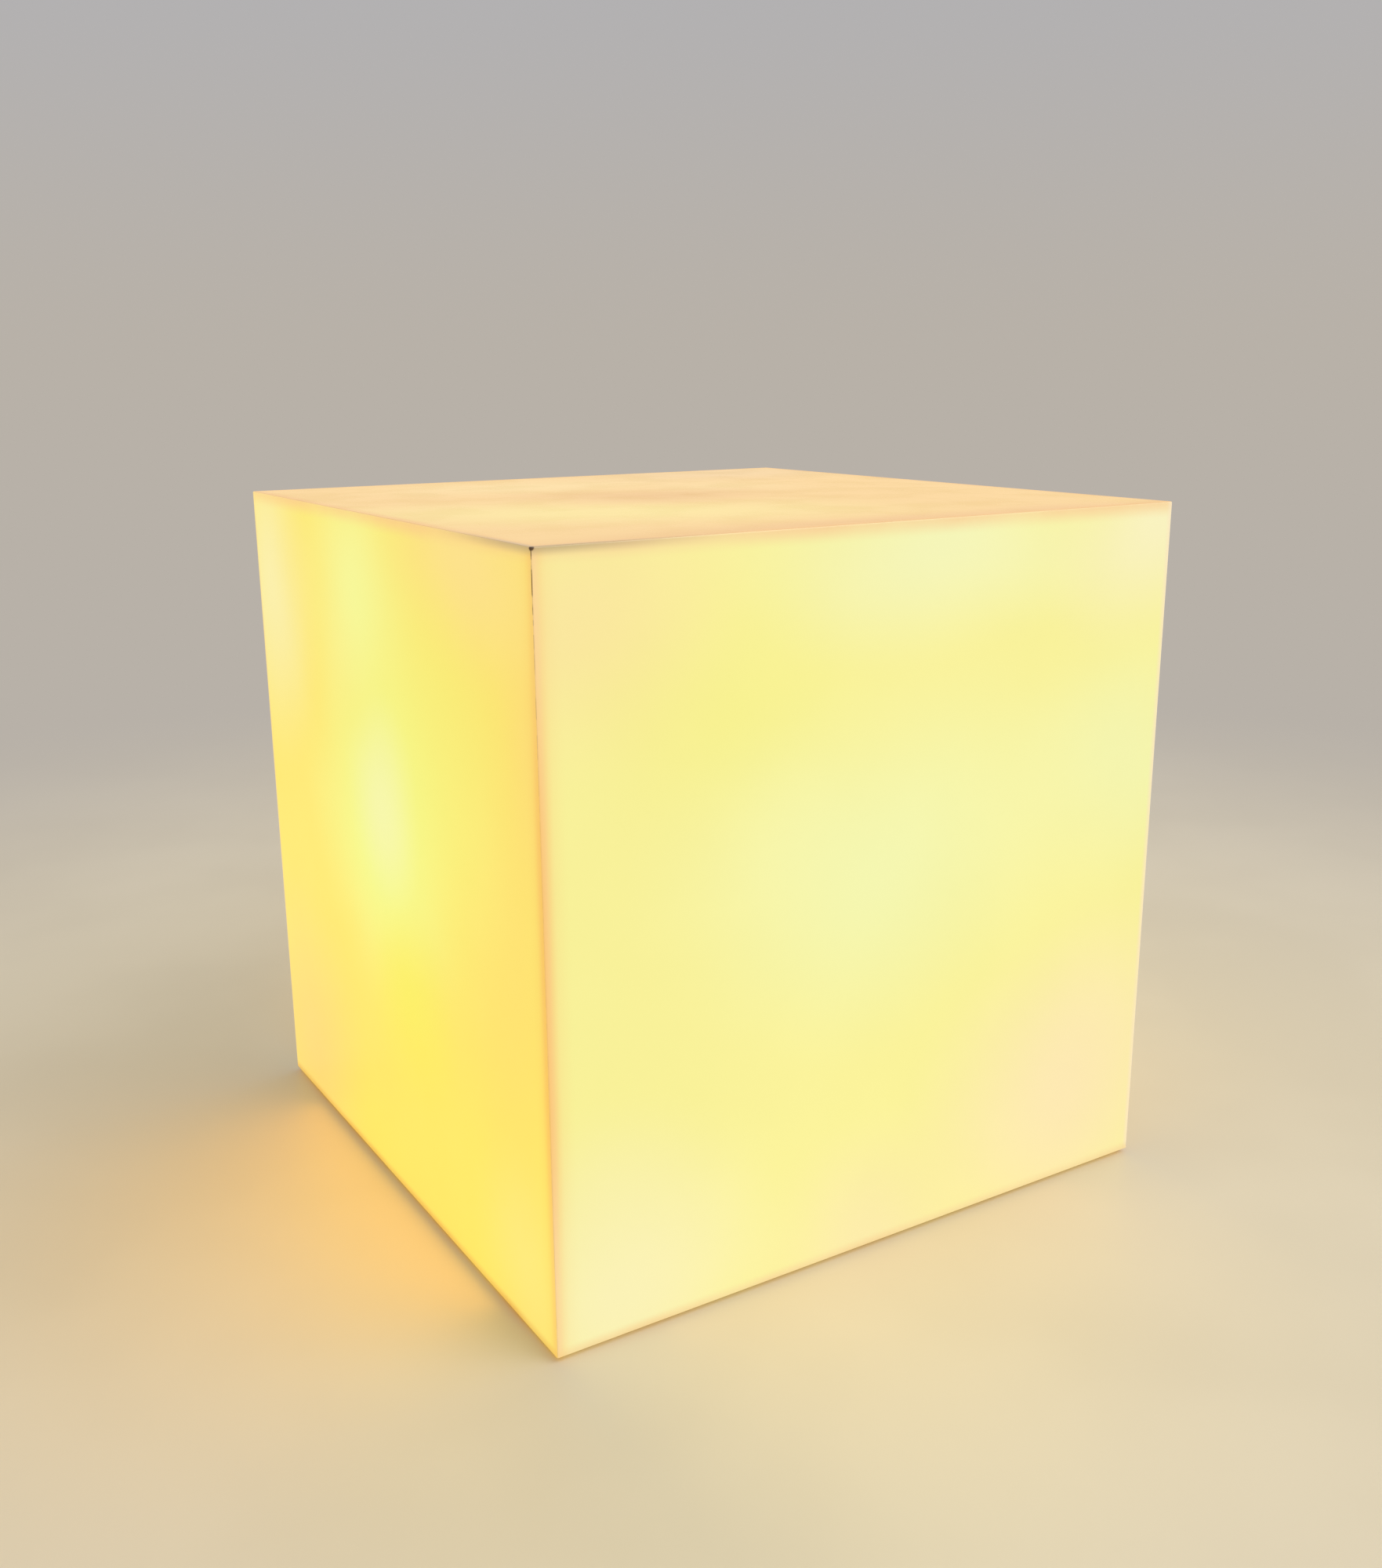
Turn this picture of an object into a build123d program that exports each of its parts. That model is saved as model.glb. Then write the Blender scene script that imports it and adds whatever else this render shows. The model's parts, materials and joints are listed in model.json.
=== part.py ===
from build123d import *

import math
import os

os.makedirs("parts", exist_ok=True)

# A cube table light: five opal acrylic panels, mitred and bonded into a box that is open below, stand over a
# base plate that carries a lampholder and its bulb. The origin is on the table, under the middle of the cube,
# +Z is up and the cord's doorway is at the back, on +Y. All sizes are in millimetres.

# ---- Shade -------------------------------------------------------------------------------------------------
cube_side = 200.0  # outside width, depth and height of the lit box
sheet = 4.0  # thickness of the opal acrylic
arris_radius = 0.4  # polish of the outer arrises
block_leg = 16.0  # two short sides of each triangular corner block
block_height = 12.0
doorway_width = 9.0  # arched cut-out for the cord in the back panel

# ---- Base plate and feet -----------------------------------------------------------------------------------
foot_height = 1.5
foot_diameter = 18.0
foot_inset = 22.0  # from the edge of the plate to the middle of a foot
foot_edge = 0.5  # rounding of a foot's lower rim
plate_thickness = 6.0
plate_clearance = 0.5  # from the edge of the plate to the panels
plate_corner = 3.0

# ---- Clearances of screws and threads ----------------------------------------------------------------------
thread_gap = 0.05  # between a plain-turned thread and its hole, on the radius
screw_clearance = 0.15  # round a screw that passes through, on the radius
countersink_clearance = 0.1
hole_spare = 0.5  # depth of a blind hole beyond its screw

# ---- Cable gland -------------------------------------------------------------------------------------------
gland_hex = 15.0  # across the flats of the body, the dome nut and the locknut
gland_margin = 1.0  # from the gland's lower flat to the plate
locknut_play = 0.5  # from the locknut's upper flat to the housing's roof
gland_thread = 12.0  # outer diameter of the entry thread
gland_thread_length = 9.0
gland_collar = 5.0  # length of the hexagon on the body
gland_stub = 7.0  # length of the clamping stub outside the collar
gland_stub_wall = 0.9
gland_bore = 7.4
gland_edge = 0.8  # chamfer on the hexagons
dome_gap = 0.5  # from the collar to the dome nut
dome_end_wall = 1.5
dome_chamfer = 2.2
dome_opening_clearance = 0.4  # round the seal's bore, on the radius
locknut_length = 3.0
seal_bore = 6.6  # takes a round mains cord
seal_wall = 1.4
seal_play = 0.05  # round the seal in its stub, on the radius
seal_proud = 0.8  # how far the seal stands out of the stub
seal_room = 0.2  # from the seal to the end of the dome nut

# ---- Terminal block and leads ------------------------------------------------------------------------------
block_length = 17.0
block_web = 3.0  # thickness of the web between the two poles
pole_width = 8.0
pole_height = 9.0
pole_edge = 1.2
chimney_diameter = 6.4
chimney_height = 3.5  # above the poles
tube_outer = 4.6
tube_bore = 2.8
tube_inset = 1.5  # from the block's end to the tube's end
clamp_screw = 2.6
clamp_screw_spacing = 8.0  # between the two screws of a pole
clamp_screw_length = 5.0
fixing_screw = 3.0
fixing_head = 5.6
fixing_head_height = 1.8
fixing_bite = 4.0  # depth into the base plate
fixing_play = 0.2  # round the head of the fixing screw, on the radius
lead_diameter = 1.8
lead_grip = 6.0  # length of lead inside its terminal tube
lead_straight = 1.5  # straight length in front of the block
lead_room = 13.0  # from the lamp's axis to the terminal block
core_room = 4.5  # from the terminal block to the gland
lead_turn_x = 2.3  # from the lamp's axis to the point where a lead turns up
lead_waist_x = 1.5  # from the axis in the narrowest stretch, inside the nipple
lead_waist_depth = 1.0  # from the housing's top down to that point
lead_exit_x = 2.0  # from the axis where a lead leaves the nipple
lead_exit_rise = 1.5
lead_pillar_run = 1.8  # straight run under a pillar
bend_share = 0.45  # part of the shorter run that a lead's bend takes up

# ---- Terminal housing --------------------------------------------------------------------------------------
housing_wall = 2.0
housing_pad_wall = 3.0  # wall behind the flat that the gland sits on
housing_flat = 2.0  # depth of that flat
housing_draft = 1.0  # how much smaller the top is, on the radius
housing_edge = 3.0  # rounding of the top edge
boss_diameter = 7.6
boss_merge = 0.8  # how far a boss runs into the wall
boss_count = 4
vent_count = 16
vent_length = 8.0
vent_width = 2.0
vent_gap = 3.0  # from the bosses to the outer ends of the vents
seat_margin = 3.0  # round the face of the lampholder
seat_height = 0.6
housing_screw = 3.5
housing_screw_head = 6.8
housing_screw_bite = 9.0  # length inside the boss

# ---- Nipple, nut and washer --------------------------------------------------------------------------------
nipple_diameter = 10.0
nipple_bore = 7.5
nipple_engagement = 4.5  # length inside the lampholder's cap
nut_hex = 14.0
nut_height = 3.0
nut_edge = 0.6
nipple_end = 0.6  # length that stands out below the nut
washer_diameter = 16.0
washer_thickness = 0.8

# ---- Bulb --------------------------------------------------------------------------------------------------
lamp_cap_diameter = 26.2  # over the thread of the metal lamp cap
lamp_cap_wall = 0.4
lamp_cap_length = 27.0  # from the tip contact to the rim of the metal cap
rim_flare = 0.6
rim_height = 1.2
contact_diameter = 9.6
contact_height = 1.0
insulator_diameter = 17.0
insulator_height = 3.2
shoulder_height = 1.8  # metal cone between the insulator and the thread
bulb_length = 105.0
globe_diameter = 60.0
neck_play = 0.2  # cement between the glass neck and the metal cap, on the radius
neck_straight = 3.0  # straight neck above the rim of the cap
glass_wall = 0.9
glass_in_cap = 6.0  # length of the neck inside the cap
globe_tangent = 38.0  # degrees below the globe's middle where the neck's curve meets it
stem_radius = 3.0
stem_play = 0.1  # between the stem's flare and the neck, on the radius
stem_flare_height = 6.0
stem_height = 26.0
rod_radius = 1.0
filament_diameter = 1.8
filament_length = 38.0
filament_low = 51.0  # from the tip to the lower end of a filament
filament_low_radius = 10.0
filament_top_radius = 6.0
filament_count = 4
filament_gap = 0.1  # from a filament's end to its wire
wire_diameter = 0.6
board_thickness = 1.2
board_play = 0.3  # between the driver board and the metal cap
board_height = 9.0  # from the tip to the driver board
capacitor_diameter = 7.0
capacitor_length = 8.0
capacitor_edge = 0.7
capacitor_x = 3.5

# ---- Lampholder --------------------------------------------------------------------------------------------
cap_clearance = 0.4  # from the lamp cap's thread to the screw shell, on the radius
shell_wall = 0.4
shell_height = 22.5
flange_width = 3.4  # foot of the screw shell
tab_width = 4.0
tab_reach = 2.1  # how far the tab passes the terminal's axis
shell_air = 3.3  # from the screw shell to the sleeve
sleeve_wall = 1.8
sleeve_lip = 1.5
lip_clearance = 0.1  # from the screw shell's bore to the lip's, on the radius
sleeve_edge = 0.8
rib_count = 24
rib_depth = 0.5
rib_width = 1.2
rib_length = 14.0
rib_start = 1.0
spigot_length = 5.0
spigot_wall = 1.7
holder_face_radius = 10.0
bell_height = 9.0  # sloping part of the lampholder's cap
grip_height = 4.0
holder_cap_wall = 2.0
bell_curve = 5.0  # rounding between the slope and the grip
nipple_boss_wall = 3.0
core_play = 0.3
core_height = 7.5
well_margin = 1.0  # from a rivet to the edge of the well
well_depth = 0.8
terminal_x = 6.0  # from the axis to each terminal
pillar_width = 5.0
pillar_height = 5.2
stud_diameter = 3.0
rivet_diameter = 4.0
rivet_height = 0.6
pillar_bore = 2.2
pillar_grip = 2.6  # length of lead inside a pillar
strip_width = 5.0
strip_thickness = 0.5
strip_overlap = 2.2  # how far the strip passes the terminal's axis
spring_rise = 1.0
spring_foot = 3.4  # half length of the spring's arch
spring_flat = 1.2  # half length of the top of the arch
spring_end = 2.4  # free end of the strip, past the axis
contact_gap = 0.3  # from the spring contact to the bulb's tip
grub_screw = 2.4
grub_head = 4.0
grub_head_height = 1.0

# ---- Levels and places that follow from the sizes ----------------------------------------------------------
half_cube = cube_side / 2
inner_half = half_cube - sheet
shade_bottom = foot_height
shade_top = foot_height + cube_side
plate_half = inner_half - plate_clearance
plate_bottom = foot_height
plate_top = plate_bottom + plate_thickness
foot_place = plate_half - foot_inset

block_front = lead_room
block_back = block_front + block_length
block_middle = (block_front + block_back) / 2
pole_pitch = pole_width + fixing_head + 2 * fixing_play
wire_level = plate_top + pole_height / 2
gland_inner_end = block_back + core_room
gland_face = gland_inner_end + gland_thread_length
stub_start = gland_face + gland_collar
stub_end = stub_start + gland_stub
seal_radius = seal_bore / 2 + seal_wall
stub_radius = seal_radius + seal_play + gland_stub_wall

housing_radius = gland_face + housing_flat
housing_height = gland_margin + gland_hex + locknut_play + housing_wall
housing_top = plate_top + housing_height
gland_level = plate_top + gland_margin + gland_hex / 2
boss_circle = housing_radius - housing_wall - boss_diameter / 2 + boss_merge
boss_angle = 180 / boss_count
vent_circle = boss_circle - boss_diameter / 2 - vent_gap - vent_length / 2

holder_bottom = housing_top + seat_height
grip_bottom = holder_bottom + bell_height
sleeve_bottom = grip_bottom + grip_height
core_bottom = sleeve_bottom + spigot_length
core_top = core_bottom + core_height
strip_level = core_top - well_depth
nipple_top = holder_bottom + nipple_engagement
nut_top = housing_top - housing_wall - washer_thickness
nipple_bottom = nut_top - nut_height - nipple_end
pillar_bottom = core_bottom - pillar_height

bulb_tip = strip_level + strip_thickness + spring_rise + contact_gap
insulator_top = bulb_tip + contact_height + insulator_height
lamp_cap_radius = lamp_cap_diameter / 2
lamp_cap_bore = lamp_cap_radius - lamp_cap_wall
lamp_cap_top = bulb_tip + lamp_cap_length
neck_radius = lamp_cap_bore - neck_play
neck_bottom = lamp_cap_top - glass_in_cap
globe_radius = globe_diameter / 2
globe_middle = bulb_tip + bulb_length - globe_radius
filament_bottom = bulb_tip + filament_low
filament_top = filament_bottom + filament_length

shell_bore = lamp_cap_radius + cap_clearance
shell_radius = shell_bore + shell_wall
shell_top = core_top + shell_height
sleeve_bore = shell_radius + shell_air
sleeve_radius = sleeve_bore + sleeve_wall
sleeve_top = shell_top + sleeve_lip
spigot_radius = sleeve_bore - thread_gap
core_radius = sleeve_bore - core_play
well_radius = terminal_x + rivet_diameter / 2 + well_margin


def corner_places(reach):
    """The four corners of a square round the axis, by name."""
    return {
        "front_left": (-reach, -reach),
        "front_right": (reach, -reach),
        "back_left": (-reach, reach),
        "back_right": (reach, reach),
    }


def gland_plane(y):
    """A plane across the gland's axis that looks out to the back."""
    return Plane(origin=(0, y, gland_level), x_dir=(-1, 0, 0), z_dir=(0, 1, 0))


def hexagon(across_flats):
    """A hexagon with two of its flats level."""
    return RegularPolygon(across_flats / 2, 6, major_radius=False)


# ---- Shade: five mitred panels -----------------------------------------------------------------------------
# The box is shaped whole, with its arrises eased, and each panel is the part of it inside that panel's mitres.
with BuildPart() as shade_box:
    with BuildSketch(Plane.XY.offset(shade_bottom)):
        Rectangle(cube_side, cube_side)
    extrude(amount=cube_side)
    upright_arrises = shade_box.edges().filter_by(Axis.Z)
    top_arrises = shade_box.faces().sort_by(Axis.Z)[-1].edges()
    fillet(upright_arrises + top_arrises, radius=arris_radius)
    with BuildSketch(Plane.XY.offset(shade_bottom)):
        Rectangle(2 * inner_half, 2 * inner_half)
    extrude(amount=cube_side - sheet, mode=Mode.SUBTRACT)

for side_name, turn in {"front": 0, "right": 90, "back": 180, "left": 270}.items():
    with BuildPart() as wall_panel:
        with BuildSketch(Plane.XY.offset(shade_bottom).rotated((0, 0, turn))):
            with BuildLine():
                Polyline((0, 0), (-half_cube, -half_cube), (half_cube, -half_cube), close=True)
            make_face()
        extrude(amount=cube_side)
        add(shade_box.part, mode=Mode.INTERSECT)
        outward = Vector(0, -1, 0).rotate(Axis.Z, turn)
        top_mitre = Plane(origin=(0, 0, shade_top - half_cube), z_dir=Vector(0, 0, 1) - outward)
        split(bisect_by=top_mitre, keep=Keep.BOTTOM)
        if side_name == "back":
            with BuildSketch(gland_plane(half_cube)):
                Circle(doorway_width / 2)
                with Locations((0, (shade_bottom - gland_level) / 2)):
                    Rectangle(doorway_width, gland_level - shade_bottom)
            extrude(amount=-sheet, mode=Mode.SUBTRACT)
    wall_panel.part.label = f"{side_name}_panel"
    export_step(wall_panel.part, f"parts/{side_name}_panel.step")

with BuildPart() as top_panel:
    with BuildSketch(Plane.XY.offset(shade_top)):
        Rectangle(cube_side, cube_side)
    extrude(amount=-sheet, taper=45)
    add(shade_box.part, mode=Mode.INTERSECT)
top_panel.part.label = "top_panel"
export_step(top_panel.part, "parts/top_panel.step")

# Triangular blocks bonded into the corners: they stand on the base plate and carry the shade.
for corner, (x, y) in corner_places(inner_half).items():
    with BuildPart() as corner_block:
        with BuildSketch(Plane.XY.offset(plate_top)):
            with BuildLine():
                Polyline(
                    (x, y),
                    (x - math.copysign(block_leg, x), y),
                    (x, y - math.copysign(block_leg, y)),
                    close=True,
                )
            make_face()
        extrude(amount=block_height)
    corner_block.part.label = f"corner_block_{corner}"
    export_step(corner_block.part, f"parts/corner_block_{corner}.step")

# ---- Base plate and feet -----------------------------------------------------------------------------------
plate_underside = Plane(origin=(0, 0, plate_bottom), z_dir=(0, 0, -1))

with BuildPart() as base_plate:
    with BuildSketch(Plane.XY.offset(plate_bottom)):
        RectangleRounded(2 * plate_half, 2 * plate_half, plate_corner)
    extrude(amount=plate_thickness)
    with Locations(plate_underside):
        with PolarLocations(boss_circle, boss_count, start_angle=boss_angle):
            CounterSinkHole(
                radius=housing_screw / 2 + screw_clearance,
                counter_sink_radius=housing_screw_head / 2 + countersink_clearance,
                counter_sink_angle=90,
            )
    with BuildSketch(Plane.XY.offset(plate_top)):
        with Locations((0, block_middle)):
            Circle(fixing_screw / 2 + thread_gap)
    extrude(amount=-fixing_bite - hole_spare, mode=Mode.SUBTRACT)
base_plate.part.label = "base_plate"
export_step(base_plate.part, "parts/base_plate.step")

for corner, place in corner_places(foot_place).items():
    with BuildPart() as foot:
        with BuildSketch():
            with Locations(place):
                Circle(foot_diameter / 2)
        extrude(amount=foot_height)
        fillet(foot.edges().sort_by(Axis.Z)[0], radius=foot_edge)
    foot.part.label = f"foot_{corner}"
    export_step(foot.part, f"parts/foot_{corner}.step")

# ---- Terminal housing --------------------------------------------------------------------------------------
# A turned, thin-walled cover with a flat for the gland, four screw bosses inside and a ring of vents on top.
with BuildPart() as terminal_housing:
    with BuildSketch(Plane.XZ):
        with BuildLine():
            Polyline(
                (0, plate_top),
                (housing_radius, plate_top),
                (housing_radius - housing_draft, housing_top),
                (0, housing_top),
                close=True,
            )
        make_face()
    revolve(axis=Axis.Z)
    fillet(terminal_housing.edges().filter_by(GeomType.CIRCLE).sort_by(Axis.Z)[-1], radius=housing_edge)
    offset(amount=-housing_wall, openings=terminal_housing.faces().sort_by(Axis.Z)[0])
    pad_width = gland_hex / math.cos(math.radians(30)) + 2 * gland_margin
    with BuildSketch(Plane.XY.offset(plate_top)):
        with Locations((0, gland_face - housing_pad_wall / 2)):
            Rectangle(pad_width, housing_pad_wall)
    extrude(amount=housing_height - housing_wall / 2)
    with BuildSketch(gland_plane(gland_face)):
        Rectangle(2 * housing_radius, 2 * housing_height)
    extrude(amount=housing_flat, mode=Mode.SUBTRACT)
    with BuildSketch(Plane.XY.offset(plate_top)):
        with PolarLocations(boss_circle, boss_count, start_angle=boss_angle):
            Circle(boss_diameter / 2)
    extrude(amount=housing_height - housing_wall)
    with BuildSketch(Plane.XY.offset(plate_top)):
        with PolarLocations(boss_circle, boss_count, start_angle=boss_angle):
            Circle(housing_screw / 2 + thread_gap)
    extrude(amount=housing_screw_bite + hole_spare, mode=Mode.SUBTRACT)
    with BuildSketch(Plane.XY.offset(housing_top)):
        Circle(holder_face_radius + seat_margin)
    extrude(amount=seat_height)
    with BuildSketch(Plane.XY.offset(holder_bottom)):
        Circle(nipple_diameter / 2 + screw_clearance)
        with PolarLocations(vent_circle, vent_count):
            SlotOverall(vent_length, vent_width)
    extrude(amount=-seat_height - housing_wall, mode=Mode.SUBTRACT)
    with BuildSketch(gland_plane(gland_face)):
        Circle(gland_thread / 2 + screw_clearance)
    extrude(amount=-housing_pad_wall, mode=Mode.SUBTRACT)
terminal_housing.part.label = "terminal_housing"
export_step(terminal_housing.part, "parts/terminal_housing.step")

with BuildPart() as housing_screws:
    head_height = (housing_screw_head - housing_screw) / 2
    with Locations((0, 0, plate_bottom)):
        with PolarLocations(boss_circle, boss_count, start_angle=boss_angle):
            Cone(
                housing_screw_head / 2,
                housing_screw / 2,
                head_height,
                align=(Align.CENTER, Align.CENTER, Align.MIN),
            )
            Cylinder(
                housing_screw / 2,
                plate_thickness + housing_screw_bite,
                align=(Align.CENTER, Align.CENTER, Align.MIN),
            )
housing_screws.part.label = "housing_screws"
export_step(housing_screws.part, "parts/housing_screws.step")

# ---- Cable gland -------------------------------------------------------------------------------------------
with BuildPart() as gland_body:
    with BuildSketch(gland_plane(gland_inner_end)):
        Circle(gland_thread / 2)
    extrude(amount=gland_thread_length)
    with BuildSketch(gland_plane(gland_face)):
        hexagon(gland_hex)
    extrude(amount=gland_collar)
    chamfer(gland_body.faces().sort_by(Axis.Y)[-1].edges(), length=gland_edge)
    with BuildSketch(gland_plane(stub_start)):
        Circle(stub_radius)
    extrude(amount=gland_stub)
    with BuildSketch(gland_plane(gland_inner_end)):
        Circle(gland_bore / 2)
    extrude(amount=gland_thread_length + gland_collar, mode=Mode.SUBTRACT)
    with BuildSketch(gland_plane(stub_start)):
        Circle(seal_radius + seal_play)
    extrude(amount=gland_stub, mode=Mode.SUBTRACT)
gland_body.part.label = "gland_body"
export_step(gland_body.part, "parts/gland_body.step")

with BuildPart() as gland_seal:
    with BuildSketch(gland_plane(stub_start)):
        Circle(seal_radius)
        Circle(seal_bore / 2, mode=Mode.SUBTRACT)
    extrude(amount=gland_stub + seal_proud)
gland_seal.part.label = "gland_seal"
export_step(gland_seal.part, "parts/gland_seal.step")

with BuildPart() as gland_dome_nut:
    dome_cavity = gland_stub + seal_proud + seal_room - dome_gap
    with BuildSketch(gland_plane(stub_start + dome_gap)):
        hexagon(gland_hex)
    extrude(amount=dome_cavity + dome_end_wall)
    chamfer(gland_dome_nut.faces().sort_by(Axis.Y)[-1].edges(), length=dome_chamfer)
    with BuildSketch(gland_plane(stub_start + dome_gap)):
        Circle(stub_radius + thread_gap)
    extrude(amount=dome_cavity, mode=Mode.SUBTRACT)
    with BuildSketch(gland_plane(stub_start + dome_gap)):
        Circle(seal_bore / 2 + dome_opening_clearance)
    extrude(amount=dome_cavity + dome_end_wall, mode=Mode.SUBTRACT)
gland_dome_nut.part.label = "gland_dome_nut"
export_step(gland_dome_nut.part, "parts/gland_dome_nut.step")

with BuildPart() as gland_locknut:
    with BuildSketch(gland_plane(gland_face - housing_pad_wall)):
        hexagon(gland_hex)
        Circle(gland_thread / 2 + thread_gap, mode=Mode.SUBTRACT)
    extrude(amount=-locknut_length)
gland_locknut.part.label = "gland_locknut"
export_step(gland_locknut.part, "parts/gland_locknut.step")

# ---- Terminal block ----------------------------------------------------------------------------------------
block_plane = Plane(origin=(0, block_middle, plate_top))
block_end = Plane(origin=(0, block_back, wire_level), x_dir=(-1, 0, 0), z_dir=(0, 1, 0))

with BuildPart() as terminal_block:
    with BuildSketch(block_plane):
        with GridLocations(pole_pitch, 0, 2, 1):
            Rectangle(pole_width, block_length)
    extrude(amount=pole_height)
    fillet(terminal_block.edges().filter_by(Axis.Y).group_by(Axis.Z)[-1], radius=pole_edge)
    with BuildSketch(block_plane):
        Rectangle(pole_pitch, block_length)
    extrude(amount=block_web)
    with BuildSketch(block_plane):
        with GridLocations(pole_pitch, clamp_screw_spacing, 2, 2):
            Circle(chimney_diameter / 2)
    extrude(amount=pole_height + chimney_height)
    with BuildSketch(block_end):
        with GridLocations(pole_pitch, 0, 2, 1):
            Circle(tube_outer / 2 + thread_gap)
    extrude(amount=-block_length, mode=Mode.SUBTRACT)
    with BuildSketch(block_plane.offset(pole_height + chimney_height)):
        with GridLocations(pole_pitch, clamp_screw_spacing, 2, 2):
            Circle(clamp_screw / 2 + screw_clearance)
    extrude(amount=-pole_height / 2 - chimney_height, mode=Mode.SUBTRACT)
    with BuildSketch(block_plane):
        Circle(fixing_screw / 2 + screw_clearance)
    extrude(amount=block_web, mode=Mode.SUBTRACT)
terminal_block.part.label = "terminal_block"
export_step(terminal_block.part, "parts/terminal_block.step")

with BuildPart() as terminal_tubes:
    with BuildSketch(block_end.offset(-tube_inset)):
        with GridLocations(pole_pitch, 0, 2, 1):
            Circle(tube_outer / 2)
            Circle(tube_bore / 2, mode=Mode.SUBTRACT)
    extrude(amount=2 * tube_inset - block_length)
    with BuildSketch(block_plane.offset(pole_height)):
        with GridLocations(pole_pitch, clamp_screw_spacing, 2, 2):
            Circle(clamp_screw / 2 + thread_gap)
    extrude(amount=-pole_height / 2, mode=Mode.SUBTRACT)
terminal_tubes.part.label = "terminal_tubes"
export_step(terminal_tubes.part, "parts/terminal_tubes.step")

with BuildPart() as terminal_screws:
    with BuildSketch(Plane(origin=(0, block_middle, wire_level + lead_diameter / 2 + thread_gap))):
        with GridLocations(pole_pitch, clamp_screw_spacing, 2, 2):
            Circle(clamp_screw / 2)
    extrude(amount=clamp_screw_length)
terminal_screws.part.label = "terminal_screws"
export_step(terminal_screws.part, "parts/terminal_screws.step")

with BuildPart() as terminal_block_screw:
    with BuildSketch(block_plane.offset(-fixing_bite)):
        Circle(fixing_screw / 2)
    extrude(amount=fixing_bite + block_web)
    with BuildSketch(block_plane.offset(block_web)):
        Circle(fixing_head / 2)
    extrude(amount=fixing_head_height)
    fillet(terminal_block_screw.edges().sort_by(Axis.Z)[-1], radius=fixing_head_height / 2)
terminal_block_screw.part.label = "terminal_block_screw"
export_step(terminal_block_screw.part, "parts/terminal_block_screw.step")

# ---- Leads from the terminal block up through the nipple ---------------------------------------------------
for lead_name, side in {"live_lead": -1, "neutral_lead": 1}.items():
    route = [
        Vector(side * pole_pitch / 2, block_front + lead_grip, wire_level),
        Vector(side * pole_pitch / 2, block_front - lead_straight, wire_level),
        Vector(side * lead_turn_x, 0, wire_level),
        Vector(side * lead_waist_x, 0, housing_top - lead_waist_depth),
        Vector(side * lead_exit_x, 0, nipple_top + lead_exit_rise),
        Vector(side * terminal_x, 0, pillar_bottom - lead_pillar_run),
        Vector(side * terminal_x, 0, pillar_bottom + pillar_grip),
    ]
    radii = []
    for before, bend, after in zip(route, route[1:], route[2:]):
        turn = math.radians((bend - before).get_angle(after - bend))
        shorter_run = min((bend - before).length, (after - bend).length)
        radii.append(bend_share * shorter_run / math.tan(turn / 2))
    print(lead_name, "radii", [round(radius, 1) for radius in radii])
    with BuildPart() as lead:
        with BuildLine() as lead_line:
            FilletPolyline(*route, radius=radii)
        with BuildSketch(Plane(origin=route[0], z_dir=route[1] - route[0])):
            Circle(lead_diameter / 2)
        sweep(path=lead_line.wire())
    lead.part.label = lead_name
    export_step(lead.part, f"parts/{lead_name}.step")

# ---- Nipple, nut and washer --------------------------------------------------------------------------------
with BuildPart() as nipple:
    with BuildSketch(Plane.XY.offset(nipple_bottom)):
        Circle(nipple_diameter / 2)
        Circle(nipple_bore / 2, mode=Mode.SUBTRACT)
    extrude(amount=nipple_top - nipple_bottom)
nipple.part.label = "nipple"
export_step(nipple.part, "parts/nipple.step")

with BuildPart() as nipple_nut:
    with BuildSketch(Plane.XY.offset(nut_top)):
        hexagon(nut_hex)
    extrude(amount=-nut_height)
    chamfer(nipple_nut.faces().sort_by(Axis.Z)[0].edges(), length=nut_edge)
    with BuildSketch(Plane.XY.offset(nut_top)):
        Circle(nipple_diameter / 2 + thread_gap)
    extrude(amount=-nut_height, mode=Mode.SUBTRACT)
nipple_nut.part.label = "nipple_nut"
export_step(nipple_nut.part, "parts/nipple_nut.step")

with BuildPart() as nipple_washer:
    with BuildSketch(Plane.XY.offset(nut_top)):
        Circle(washer_diameter / 2)
        Circle(nipple_diameter / 2 + screw_clearance, mode=Mode.SUBTRACT)
    extrude(amount=washer_thickness)
nipple_washer.part.label = "nipple_washer"
export_step(nipple_washer.part, "parts/nipple_washer.step")

# ---- Lampholder --------------------------------------------------------------------------------------------
nipple_hole = nipple_diameter / 2 + thread_gap
nipple_boss = nipple_hole + nipple_boss_wall

with BuildPart() as lampholder_cap:
    with BuildSketch(Plane.XZ):
        with BuildLine():
            FilletPolyline(
                (nipple_hole, holder_bottom),
                (holder_face_radius, holder_bottom),
                (sleeve_radius, grip_bottom),
                (sleeve_radius, sleeve_bottom),
                (spigot_radius, sleeve_bottom),
                (spigot_radius, core_bottom),
                (spigot_radius - spigot_wall, core_bottom),
                (spigot_radius - spigot_wall, grip_bottom),
                (nipple_boss, holder_bottom + holder_cap_wall),
                (nipple_boss, nipple_top),
                (nipple_hole, nipple_top),
                radius=[0, 0, bell_curve, 0, 0, 0, 0, bell_curve, 0, 0, 0],
                close=True,
            )
        make_face()
    revolve(axis=Axis.Z)
lampholder_cap.part.label = "lampholder_cap"
export_step(lampholder_cap.part, "parts/lampholder_cap.step")

lip_radius = shell_bore + lip_clearance

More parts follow.
